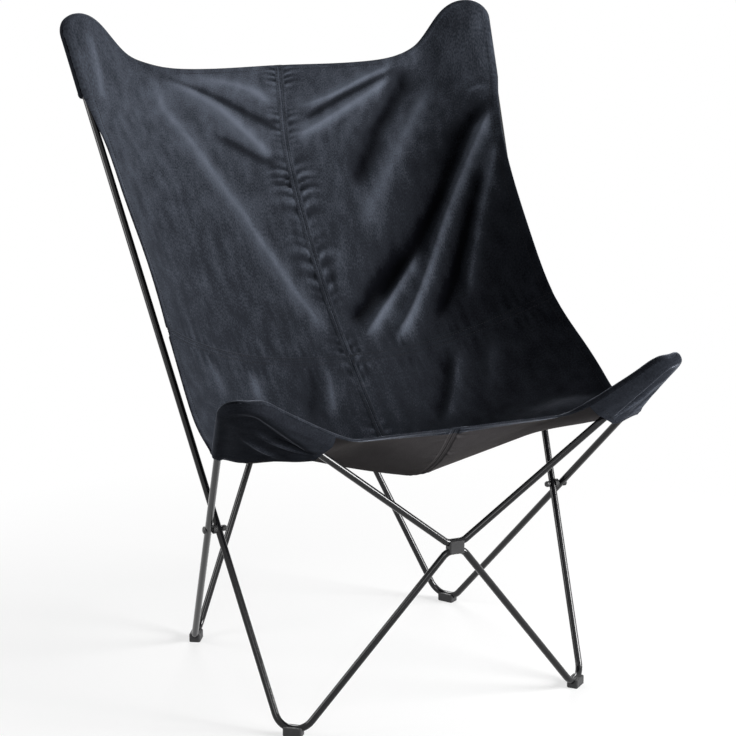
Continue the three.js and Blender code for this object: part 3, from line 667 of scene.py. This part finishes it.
RIM_SAMPLES = 1400
RIM = [front_edge(np.linspace(0, 1, RIM_SAMPLES)), top_edge(np.linspace(0, 1, RIM_SAMPLES)),
       side_edge(np.linspace(0, LAST_ROW, 2 * RIM_SAMPLES))]
rim_gap = edge_gap(flat_cloth, RIM)
lifted_cloth = flat_cloth.copy()
for bow, bag in ((SEAT_BOW, 0.006), (BACK_BOW, 0.003)):
    flat, hold = pocket_hold(bow, flat_cloth)
    past = 1 - rise(flat[..., 0] - bow["depth"], 0, FADE_PAST_HEM)
    lift = rounded_lift(rim_gap) + bag * rise(rim_gap, 0, PANEL_BAG_REACH)
    lifted_cloth += (lift * hold * past)[..., None] * bow["axes"][2]
cloth_normals = grid_normals(lifted_cloth)
print("normals point to the sitter:", bool(cloth_normals[180, 30] @ np.array([0, -1, 1]) > 0))


# %% The cloth of one half, pressed and folded
# Strengths of the painted highlight and shade on folds and puckers, of the painted shade on cloth that
# faces left and of the painted light towards the top rows.
FOLD_PAINTED_LIGHT, FOLD_LIGHT_HEIGHT = 0.46, 0.0048
PUCKER_PAINTED_LIGHT, PUCKER_LIGHT_HEIGHT = 0.26, 0.0022
LEFT_FACING_PAINTED_SHADE, LEFT_FACING_MOST, TOP_LIGHT_ROWS = 0.75, 0.36, (6.0, 10.0)
TOP_PAINTED_LIGHT = {-1: 0.13, 1: 0.07}
FOLD_FROM_EDGE, HEM_STEP, EDGE_ROUND = 0.03, 0.0015, 0.0015
ROUND_FRONT, ROUND_BACK = 0.0008, 0.0012


def half_cloth(side):
    across, along = side * GRID_SHARE * HALF_WIDTH, GRID_ROW * ROW_LENGTH
    folds = fold_height(across, along) * rise(rim_gap, 0, FOLD_FROM_EDGE)
    puckers = seam_puckers(across, along)
    height = folds + puckers + seam_bands(across, along)
    # Painted highlight on fold and pucker crests, painted shade in their hollows.
    painted_light = 0.5 + FOLD_PAINTED_LIGHT * np.tanh(folds / FOLD_LIGHT_HEIGHT)
    painted_light += PUCKER_PAINTED_LIGHT * np.tanh(puckers / PUCKER_LIGHT_HEIGHT)
    # Painted light towards the top rows, and painted shade where the cloth faces left, away from the
    # right lamp, fading out in those rows.
    brushed_patches_and_top_light = rise(GRID_ROW, *TOP_LIGHT_ROWS)
    left_facing_shade = np.clip(-side * cloth_normals[..., 0], 0, LEFT_FACING_MOST)
    painted_light += TOP_PAINTED_LIGHT[side] * brushed_patches_and_top_light - LEFT_FACING_PAINTED_SHADE * left_facing_shade * (1 - brushed_patches_and_top_light)
    hem = 1 - rise(rim_gap, HEM_WIDTH - HEM_STEP, HEM_WIDTH)
    edge_round = 1 - np.sqrt(np.clip(rim_gap / EDGE_ROUND, 0, 1))
    height += (HEM_EXTRA * 0.5) * hem - ROUND_FRONT * edge_round
    front = lifted_cloth + cloth_normals * height[..., None]
    back = front - cloth_normals * (CLOTH + HEM_EXTRA * hem - ROUND_BACK * edge_round)[..., None]
    turn = np.array([side, 1, 1])
    return front * turn, back * turn, cloth_normals * turn, painted_light


HALVES = {"left": half_cloth(-1), "right": half_cloth(1)}
print("halves made:", list(HALVES))

# %% [markdown]
# ## Velvet, lining and thread
# Velvet is dark where one looks down its pile and pale where the pile is seen from
# the side, which is what the shader's sheen gives. Each point of the cloth also
# carries a number of painted light, which moves the colour from black to blue-grey:
# painted highlight over the crest of a fold, painted shade in the hollow beside it
# and on cloth that faces left. A slow noise adds brushed patches and a fine one the
# tips of the pile. The underside is a warm grey backing cloth, and the seams are
# sewn with black thread.

# %% Cloth finishes
def weighed(tree, *parts):
    total = None
    for value, weight in parts:
        step = tree.nodes.new("ShaderNodeMath")
        step.operation = "MULTIPLY_ADD"
        tree.links.new(value, step.inputs[0])
        step.inputs[1].default_value = weight
        if total is None:
            step.inputs[2].default_value = 0.0
        else:
            tree.links.new(total, step.inputs[2])
        total = step.outputs[0]
    return total


BRUSHED, PILE = 0.42, 0.5


def velvet_finish(name, tones, sheen, tint, follows_painted_light):
    finish, tree, shader = new_finish(name, tones[1], 0.8, Sheen_Weight=sheen, Sheen_Roughness=0.32,
                                      Sheen_Tint=(*tint, 1), Specular_IOR_Level=0.0)
    brushed_patches_and_top_light = noise_on(tree, "UV", 60.0, 5.0, (1.0, 0.55, 1.0))
    grain = noise_on(tree, "UV", 600.0, 2.0, (1.0, 0.6, 1.0))
    # An attribute carries the painted shade and painted highlight of the cloth into the colour ramp.
    painted_light = tree.nodes.new("ShaderNodeAttribute")
    painted_light.attribute_name = "painted_light"
    tone = weighed(tree, (painted_light.outputs["Fac"], follows_painted_light), (brushed_patches_and_top_light, BRUSHED), (grain, PILE))
    shift = (1 - follows_painted_light - BRUSHED - PILE) / 2
    ramp = tree.nodes.new("ShaderNodeValToRGB")
    ramp.color_ramp.elements.new(0.5)
    for stop, colour, place in zip(ramp.color_ramp.elements, tones, (0.05, 0.5, 1.0)):
        stop.position, stop.color = place, (*colour, 1)
    tree.links.new(between(tree, tone, 0.0, 1.0, -shift, 1 - shift), ramp.inputs["Fac"])
    tree.links.new(ramp.outputs["Color"], shader.inputs["Base Color"])
    tree.links.new(between(tree, brushed_patches_and_top_light, 0.7, 0.9), shader.inputs["Roughness"])
    crush = bump_from(tree, noise_on(tree, "UV", 85.0, 2.0, (1.0, 0.6, 1.0)), 0.0016, 0.25)
    tree.links.new(bump_from(tree, grain, 0.0006, 0.35, crush), shader.inputs["Normal"])
    return finish


# The dark and light tones are reached by painted shade and painted highlight, as well as by the slow and
# fine noise.
VELVET_TONES = [(0.003, 0.0033, 0.0046), (0.0205, 0.0232, 0.0295), (0.098, 0.111, 0.140)]
VELVET = velvet_finish("black_velvet", VELVET_TONES, 0.3, (0.72, 0.78, 0.92), 1.0)
LINING_TONES = [(0.038, 0.0355, 0.037), (0.054, 0.0505, 0.0525), (0.073, 0.069, 0.071)]
LINING = velvet_finish("warm_grey_backing", LINING_TONES, 0.05, (0.9, 0.85, 0.8), 0.0)
THREAD = coat_finish("black_thread", (0.009, 0.009, 0.011), (0.5, 0.7), 2500.0, 0.0002,
                     Specular_IOR_Level=0.1)

# %% [markdown]
# ## The four panels
# A sheet is a grid of points, so mesh code makes it best: one grid for the velvet
# face, one for the backing and a strip round the border that closes them. Each
# panel takes over from its solid.

# %% Thick sheet from two grids
def thick_sheet(name, front, back, pattern, painted_light, hem, flip):
    lines, columns = front.shape[:2]
    count = lines * columns
    index = np.arange(count).reshape(lines, columns)
    quads = np.stack([index[:-1, :-1], index[:-1, 1:], index[1:, 1:], index[1:, :-1]], -1)
    quads = quads.reshape(-1, 4)
    ring = np.concatenate([index[0], index[1:, -1], index[-1, -2::-1], index[-2:0:-1, 0]])
    after = np.roll(ring, -1)
    rim = np.stack([after, ring, ring + count, after + count], -1)
    faces = np.concatenate([quads, quads[:, ::-1] + count, rim])
    if flip:
        faces = faces[:, ::-1]
    mesh = bpy.data.meshes.new(name)
    points = np.concatenate([front.reshape(-1, 3), back.reshape(-1, 3)])
    mesh.from_pydata(points.tolist(), [], faces.tolist())
    lined = (~hem.ravel()[quads].any(1)).astype(int)
    finishes = np.concatenate([0 * lined, lined, np.zeros(len(rim), int)])
    mesh.polygons.foreach_set("material_index", finishes)
    corners = np.empty(len(mesh.loops), np.int32)
    mesh.loops.foreach_get("vertex_index", corners)
    places = np.concatenate([pattern.reshape(-1, 2)] * 2)[corners]
    mesh.uv_layers.new(name="pattern").data.foreach_set("uv", places.ravel())
    # Each point stores its number of painted light as an attribute.
    mesh.attributes.new("painted_light", "FLOAT", "POINT").data.foreach_set("value", np.tile(painted_light.ravel(), 2))
    mesh.materials.append(VELVET)
    mesh.materials.append(LINING)
    piece = bpy.data.objects.new(name, mesh)
    bpy.context.scene.collection.objects.link(piece)
    bpy.ops.object.select_all(action="DESELECT")
    piece.select_set(True)
    bpy.context.view_layer.objects.active = piece
    bpy.ops.object.shade_smooth_by_angle(angle=math.radians(65))
    return piece


def cloth_area(front):
    a, b = np.diff(front, axis=1)[:-1], np.diff(front, axis=0)[:, :-1]
    return float(np.linalg.norm(np.cross(a, b), axis=-1).sum())


# %% Panels
PART_LINES = {"seat": slice(0, SEAT_LINES + 1), "back": slice(SEAT_LINES, None)}
turned_hem = rim_gap < HEM_WIDTH
panels = {}
for side, turn in (("left", -1), ("right", 1)):
    front, back, _, painted_light = HALVES[side]
    pattern = np.stack([turn * GRID_SHARE * HALF_WIDTH, GRID_ROW * ROW_LENGTH], -1)
    for part, lines in PART_LINES.items():
        piece = thick_sheet(f"{part}_velvet_{side}", front[lines], back[lines], pattern[lines],
                            painted_light[lines], turned_hem[lines], turn < 0)
        panels[part, side] = piece
        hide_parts(f"{part}_panel_{side}")
        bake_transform(piece)
        print(piece.name, len(piece.data.polygons), "faces,",
              round(cloth_area(front[lines]), 4), "square metres")

# %% [markdown]
# ## The pocket flaps
# Each corner of the sling has a second layer on the outside of the bow, sewn to
# the panel round the tip and open along a straight hem. It is a patch between four
# lines: the edge along the side rod, the edge along the ridge, and two stretches
# of hem that meet where the inner rod comes out.

# %% Flap patches
# The flap's base level is a painted shade, below the panel's middle value.
FLAP_STEPS, FLAP_SHADED_LEVEL = 72, 0.36
FLAP_BAG = {"front": 0.011, "top": 0.010}
FLAP_BAG_REACH = {"front": 0.045, "top": 0.022}
CREST_FROM_EDGE, TENT_FROM_EDGE = (0.004, 0.03), 0.004
EDGE_SEAM, EDGE_SEAM_GAP = 0.0011, (0.0085, 0.0098)
THIN_SHARE, THIN_LEAST = 0.4, 0.0003
HEM_CORNER, HEM_RISE, TENT_BLEND = 0.009, 0.75, 0.008
FLAP_FOLDS = {"front": [(3.6, 6, (0.30, 0.30), (0.72, 0.95)), (3.0, 5, (0.45, 0.22), (0.92, 0.72)),
                        (-3.0, 7, (0.35, 0.45), (0.62, 0.98)), (2.4, 5, (0.15, 0.35), (0.42, 0.95))],
              "top": [(2.6, 8, (0.2, 0.3), (0.8, 0.7)), (-2.2, 8, (0.4, 0.15), (0.95, 0.45))]}


def four_sided(low, high, first, last):
    a = np.linspace(0, 1, len(low))[:, None, None]
    b = np.linspace(0, 1, len(first))[None, :, None]
    ruled = (1 - b) * low[:, None] + b * high[:, None] + (1 - a) * first[None] + a * last[None]
    corners = (1 - a) * (1 - b) * low[0] + a * (1 - b) * low[-1]
    corners = corners + (1 - a) * b * high[0] + a * b * high[-1]
    return ruled - corners


def rod_tent(bow, flat):
    off = np.abs(beyond_edge(bow, flat) + bow["margin"])
    bend = LAYER * math.sqrt(0.5)
    cap = np.sqrt(np.maximum(LAYER**2 - np.minimum(off, bend)**2, 0))
    return cap - np.maximum(off - bend, 0)


def flap_cloth(bow, ridge, folds, bag, bag_reach):
    steps = np.linspace(0, 1, FLAP_STEPS + 1)
    rod_edge, ridge_edge = pocket_edge(bow, 1, steps), ridge(steps)
    down, across, inward = bow["axes"]
    to_end = np.linalg.norm(rod_edge - rod_edge[-1], axis=1)
    past = np.clip(HEM_CORNER - to_end, 0, HEM_CORNER)
    rod_edge = rod_edge - (HEM_CORNER - np.sqrt(HEM_CORNER**2 - past**2))[:, None] * across
    depth = bow["depth"]
    outlet = from_plane(bow, np.array([depth, -depth * math.tan(bow["half"]), 0.0]))
    hem = rod_edge[-1] + steps[:, None] * (outlet - rod_edge[-1])
    hem = hem - (HEM_RISE * bag * np.sin(math.pi * steps))[:, None] * down
    slant = ridge_edge[-1] + steps[:, None] * (outlet - ridge_edge[-1])
    patch = four_sided(rod_edge, slant, ridge_edge, hem)
    gap = edge_gap(patch, [rod_edge, ridge_edge])
    hem_gap = edge_gap(patch, [hem, slant])
    a, b = np.meshgrid(steps, steps, indexing="ij")
    lift = rounded_lift(gap) + bag * rise(gap, 0, bag_reach)
    crest = np.zeros_like(lift)
    for height, width, start, stop in folds:
        run = np.subtract(stop, start)
        along = np.clip(((a - start[0]) * run[0] + (b - start[1]) * run[1]) / (run @ run), 0, 1)
        off = np.hypot(a - start[0] - along * run[0], b - start[1] - along * run[1]) * depth
        swell = np.exp(-(off / (width * MM))**2) * np.sin(math.pi * along)
        crest += height * MM * swell * rise(gap, *CREST_FROM_EDGE)
    lift = lift + crest - EDGE_SEAM * rise(gap, *EDGE_SEAM_GAP)
    band = 1 - rise(hem_gap, HEM_WIDTH - HEM_STEP, HEM_WIDTH)
    lift = lift + HEM_EXTRA * 0.5 * band
    flat = in_plane(bow, patch)
    outside, tent = lift - flat[..., 2], rod_tent(bow, flat)
    reach = np.clip(0.5 + (tent - outside) / (2 * TENT_BLEND), 0, 1)
    draped = outside * (1 - reach) + tent * reach + TENT_BLEND * reach * (1 - reach)
    lift = lift + (draped - outside) * rise(gap, 0, TENT_FROM_EDGE)
    outer = patch - lift[..., None] * inward
    thickness = np.minimum(CLOTH + HEM_EXTRA * 0.5 * band, THIN_SHARE * lift + THIN_LEAST)
    inner = outer + thickness[..., None] * inward
    # Painted shade over the whole flap, with a painted highlight on fold crests and painted shade in
    # their hollows.
    painted_light = FLAP_SHADED_LEVEL + FOLD_PAINTED_LIGHT * np.tanh(crest / FOLD_LIGHT_HEIGHT)
    return outer, inner, np.stack([a, b], -1) * depth, painted_light


SEAT_RIDGE_END, BACK_RIDGE_END = 0.575, 0.66


def seat_ridge(steps):
    return front_edge(1 - steps * (1 - SEAT_RIDGE_END))


def back_ridge(steps):
    return top_edge(1 - steps * (1 - BACK_RIDGE_END))


# %% Flaps
FLAPS = {"front": (SEAT_BOW, seat_ridge, "seat_loop"), "top": (BACK_BOW, back_ridge, "back_loop")}
MIDDLE = FLAP_STEPS // 2
flaps, flap_shapes = {}, {}
for place, (bow, ridge, body) in FLAPS.items():
    outer, inner, pattern, painted_light = flap_cloth(bow, ridge, FLAP_FOLDS[place],
                                            FLAP_BAG[place], FLAP_BAG_REACH[place])
    normals = grid_normals(outer)
    faces_out = normals[MIDDLE, MIDDLE] @ bow["axes"][2] < 0
    flap_shapes[place] = outer, normals if faces_out else -normals
    velvet_both_sides = np.ones(painted_light.shape, bool)
    for side, turn in (("left", -1), ("right", 1)):
        mirror = np.array([turn, 1, 1])
        piece = thick_sheet(f"{place}_flap_{side}", outer * mirror, inner * mirror, pattern,
                            painted_light, velvet_both_sides, faces_out == (turn < 0))
        flaps[place, side] = piece
        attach(piece, body)
        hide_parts(f"{place}_pocket_{side}")
        print(piece.name, len(piece.data.polygons), "faces,",
              round(cloth_area(outer), 4), "square metres")

# %% [markdown]
# ## Stitches
# Twin rows of black thread hold the seams, and a single row holds each hem. Every
# stitch is the same small spindle that dips into the cloth at both ends, laid along
# a line of the pattern a few millimetres from the seam. They are shapes and not a
# texture, because they catch the light as the real thread does.

# %% Rows of thread
STITCH, STITCH_STEP, THREAD_RADIUS = 0.0031, 0.0043, 0.00042
STITCH_SIDES = 5
SPINDLE = [(0.0, 0.0, -0.5), (0.25, 1.0, 0.5), (0.75, 1.0, 0.5), (1.0, 0.0, -0.5)]
SPINDLE_TIP, FIRST_STITCH, LAST_STITCH = 0.15, 0.002, 0.001
HEM_STITCH = 0.0088


def on_grid(grids, line, column):
    i = np.clip(line.astype(int), 0, grids[0].shape[0] - 2)
    j = np.clip(column.astype(int), 0, grids[0].shape[1] - 2)
    b, a = (line - i)[:, None], (column - j)[:, None]
    return [(1 - b) * ((1 - a) * g[i, j] + a * g[i, j + 1])
            + b * ((1 - a) * g[i + 1, j] + a * g[i + 1, j + 1]) for g in grids]


def stitch_places(points, normals):
    run = np.concatenate([[0], np.cumsum(np.linalg.norm(np.diff(points, axis=0), axis=1))])
    starts = np.arange(FIRST_STITCH, run[-1] - STITCH - LAST_STITCH, STITCH_STEP)

    def at(where, values):
        return np.stack([np.interp(where, run, values[:, k]) for k in range(3)], -1)
    return at(starts, points), at(starts + STITCH, points), at(starts + STITCH / 2, normals)


def thread_mesh(name, rows):
    places = [stitch_places(*row) for row in rows]
    starts, ends, normals = (np.concatenate(part) for part in zip(*places))
    normals = normals / np.linalg.norm(normals, axis=1, keepdims=True)
    beside = np.cross(ends - starts, normals)
    beside = beside / np.linalg.norm(beside, axis=1, keepdims=True)
    points, faces = [], []
    for along, width, height in SPINDLE:
        middle = starts + along * (ends - starts) + height * THREAD_RADIUS * normals
        for k in range(STITCH_SIDES):
            turn = 2 * math.pi * k / STITCH_SIDES
            out = math.cos(turn) * normals + math.sin(turn) * beside
            points.append(middle + out * max(width, SPINDLE_TIP) * THREAD_RADIUS)
    points = np.stack(points, 1)
    count = points.shape[1]
    for ring in range(len(SPINDLE) - 1):
        for k in range(STITCH_SIDES):
            a, b = ring * STITCH_SIDES + k, ring * STITCH_SIDES + (k + 1) % STITCH_SIDES
            faces.append((a, a + STITCH_SIDES, b + STITCH_SIDES, b))
    shift = np.arange(len(starts))[:, None, None] * count
    quads = (np.array(faces)[None] + shift).reshape(-1, 4)
    last = count - STITCH_SIDES
    caps = np.array([range(STITCH_SIDES), range(count - 1, last - 1, -1)])[None] + shift
    mesh = bpy.data.meshes.new(name)
    mesh.from_pydata(points.reshape(-1, 3).tolist(), [],
                     quads.tolist() + caps.reshape(-1, STITCH_SIDES).tolist())
    mesh.materials.append(THREAD)
    piece = bpy.data.objects.new(name, mesh)
    bpy.context.scene.collection.objects.link(piece)
    return piece


# %% Stitches of the panels
THREAD_SAMPLES = 500
LUMBAR_STOP, HEM_SHARE, POCKET_CLEAR = 0.006, 0.52, 0.1


def cloth_line(side, shares, rows):
    front, _, normals, _ = HALVES[side]
    lines = np.interp(rows, ROWS, np.arange(len(ROWS)))
    columns = np.interp(shares, SHARES, np.arange(len(SHARES)))
    return on_grid([front, normals], lines, columns)


def panel_threads(part, side):
    low, high = (0.0, LUMBAR_ROW) if part == "seat" else (LUMBAR_ROW, LAST_ROW)
    t = np.linspace(0, 1, THREAD_SAMPLES)
    seam, hem = SEAM_TOPSTITCH / HALF_WIDTH, HEM_STITCH / HALF_WIDTH
    lumbar = LUMBAR_ROW + (-1 if part == "seat" else 1) * SEAM_TOPSTITCH / ROW_LENGTH
    inset = HEM_STITCH / ROW_LENGTH
    border = inset if part == "seat" else LAST_ROW - inset
    if part == "seat":
        free = FRONT_HEM_ROW + POCKET_CLEAR, LUMBAR_ROW
    else:
        free = LUMBAR_ROW, TOP_HEM_ROW - POCKET_CLEAR
    return [cloth_line(side, seam + 0 * t, low + t * (high - low)),
            cloth_line(side, t * (1 - LUMBAR_STOP), lumbar + 0 * t),
            cloth_line(side, t * HEM_SHARE, border + 0 * t),
            cloth_line(side, 1 - hem + 0 * t, free[0] + t * (free[1] - free[0]))]


for part, side in panels:
    piece = thread_mesh(f"{part}_thread_{side}", panel_threads(part, side))
    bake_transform(piece)
    print(piece.name, len(piece.data.polygons), "faces")

# %% Stitches of the flaps
FLAP_THREAD_ENDS, FLAP_THREAD_SAMPLES = (0.03, 0.97), 300
FLAP_LENGTH, SLANT_STITCH = 0.15, 0.93

for place, grids in flap_shapes.items():
    body = FLAPS[place][2]
    t = np.linspace(*FLAP_THREAD_ENDS, FLAP_THREAD_SAMPLES) * FLAP_STEPS
    hem_line = np.full_like(t, FLAP_STEPS * (1 - HEM_STITCH / FLAP_LENGTH))
    slant_line = np.full_like(t, FLAP_STEPS * SLANT_STITCH)
    rows = [on_grid(grids, hem_line, t), on_grid(grids, t, slant_line)]
    for side, turn in (("left", -1), ("right", 1)):
        mirror = np.array([turn, 1, 1])
        piece = thread_mesh(f"{place}_flap_thread_{side}", [(p * mirror, n * mirror) for p, n in rows])
        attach(piece, body)
        print(piece.name, len(piece.data.polygons), "faces")

# %% [markdown]
# ## Counting the cloth
# The panels and flaps are counted.

# %% Sheet count
print("sheets declared:", len(panels) + len(flaps))

# %% [markdown]
# ## Floor, backdrop and light
# The chair stands on a white floor in front of a white wall. Near the chair the
# floor is lit like any other surface and keeps the shadow. Farther out it turns
# into the backdrop, which is plain white to the camera and to gloss, as the sky is.
# A strong low lamp at the right rakes across the folds. Weaker ones beside the
# camera, at the left and behind lift the shaded sides.

# %% White floor and wall
SHADOW_REACH, WHITE_FROM = 0.5, 1.05
WHITE_NEAR = 0.6
SEEN, BOUNCE = (0.92, 0.92, 0.92), (0.3, 0.3, 0.3)
FLOOR_SIDE, WALL_GAP, WALL_HALF, WALL_HEIGHT = 60.0, 7.0, 14.0, 16.0


def seen_directly(tree):
    rays = tree.nodes.new("ShaderNodeLightPath")
    seen = rays.outputs["Is Camera Ray"]
    for kind in ("Is Glossy Ray", "Is Transmission Ray"):
        either = tree.nodes.new("ShaderNodeMath")
        either.operation = "MAXIMUM"
        tree.links.new(seen, either.inputs[0])
        tree.links.new(rays.outputs[kind], either.inputs[1])
        seen = either.outputs[0]
    return seen


def backdrop_finish(name, keeps_shadow):
    finish, tree, shader = new_finish(name, SEEN, 0.9, Specular_IOR_Level=0.0)
    share = seen_directly(tree)
    tree.links.new(colour_between(tree, share, BOUNCE, SEEN, 0.0, 1.0), shader.inputs["Base Color"])
    if keeps_shadow:
        place = tree.nodes.new("ShaderNodeTexCoord")
        gap = tree.nodes.new("ShaderNodeVectorMath")
        gap.operation = "LENGTH"
        tree.links.new(place.outputs["Object"], gap.inputs[0])
        far = between(tree, gap.outputs["Value"], WHITE_NEAR, 1.0, SHADOW_REACH, WHITE_FROM)
        both = tree.nodes.new("ShaderNodeMath")
        both.operation = "MULTIPLY"
        tree.links.new(share, both.inputs[0])
        tree.links.new(far, both.inputs[1])
        share = both.outputs[0]
    glow = tree.nodes.new("ShaderNodeEmission")
    mix = tree.nodes.new("ShaderNodeMixShader")
    tree.links.new(share, mix.inputs["Fac"])
    tree.links.new(shader.outputs[0], mix.inputs[1])
    tree.links.new(glow.outputs[0], mix.inputs[2])
    tree.links.new(mix.outputs[0], tree.nodes["Material Output"].inputs["Surface"])
    return finish


bpy.ops.object.select_all(action="DESELECT")
bpy.ops.mesh.primitive_plane_add(size=FLOOR_SIDE, location=(0, 0, 0))
floor = bpy.context.object
floor.name = "floor"
floor.data.materials.append(backdrop_finish("white_floor", True))
floor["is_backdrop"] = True
bpy.ops.object.select_all(action="DESELECT")
wall_middle = (-away.x * WALL_GAP, -away.y * WALL_GAP, WALL_HEIGHT / 2)
bpy.ops.mesh.primitive_plane_add(size=2, location=wall_middle,
                                 rotation=(math.pi / 2, 0, CAMERA_TURN))
wall = bpy.context.object
wall.name = "backdrop"
wall.scale = (WALL_HALF, WALL_HEIGHT / 2, 1)
bpy.ops.object.transform_apply(location=True, rotation=True, scale=True)
wall.data.materials.append(backdrop_finish("white_wall", False))
wall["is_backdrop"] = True


# %% Lamps and sky
LAMP_AIM, SKY_LIGHT = 0.75, 0.05


def soft_lamp(name, azimuth, height, distance, size, power):
    turn, lift = math.radians(azimuth), math.radians(height)
    aim = Vector((0, 0, LAMP_AIM))
    place = aim + distance * Vector((math.sin(turn) * math.cos(lift),
                                     -math.cos(turn) * math.cos(lift), math.sin(lift)))
    data = bpy.data.lights.new(name, "AREA")
    data.shape, data.size, data.energy = "SQUARE", size, power
    lamp = bpy.data.objects.new(name, data)
    lamp.location = place
    lamp.rotation_euler = (aim - place).to_track_quat("-Z", "Y").to_euler()
    bpy.context.scene.collection.objects.link(lamp)


soft_lamp("right_lamp", 52, 7, 2.8, 1.2, 150)
soft_lamp("camera_lamp", -24, 10, 2.8, 1.2, 22)
soft_lamp("left_lamp", -105, 14, 2.8, 1.2, 30)
soft_lamp("rear_lamp", 160, 20, 2.8, 1.6, 45)

sky = bpy.data.worlds.new("pale_sky")
sky.use_nodes = True
bpy.context.scene.world = sky
glow = sky.node_tree.nodes["Background"]
glow.inputs["Color"].default_value = (1, 1, 1, 1)
strength = between(sky.node_tree, seen_directly(sky.node_tree), SKY_LIGHT, 1.0, 0.0, 1.0)
sky.node_tree.links.new(strength, glow.inputs["Strength"])

# %% [markdown]
# ## Size
# The boxes of the solids and of the new pieces are measured, and how far the cloth
# and the rounder rods stand proud of the solids is printed. Cloth and rounder rods
# may stand only a little proud of the solids.

# %% Boxes
new_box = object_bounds()
growth = [[round((b - a) * 1000, 1) for a, b in zip(*pair)] for pair in zip(cad_box, new_box)]
print("grown by", growth, "mm")
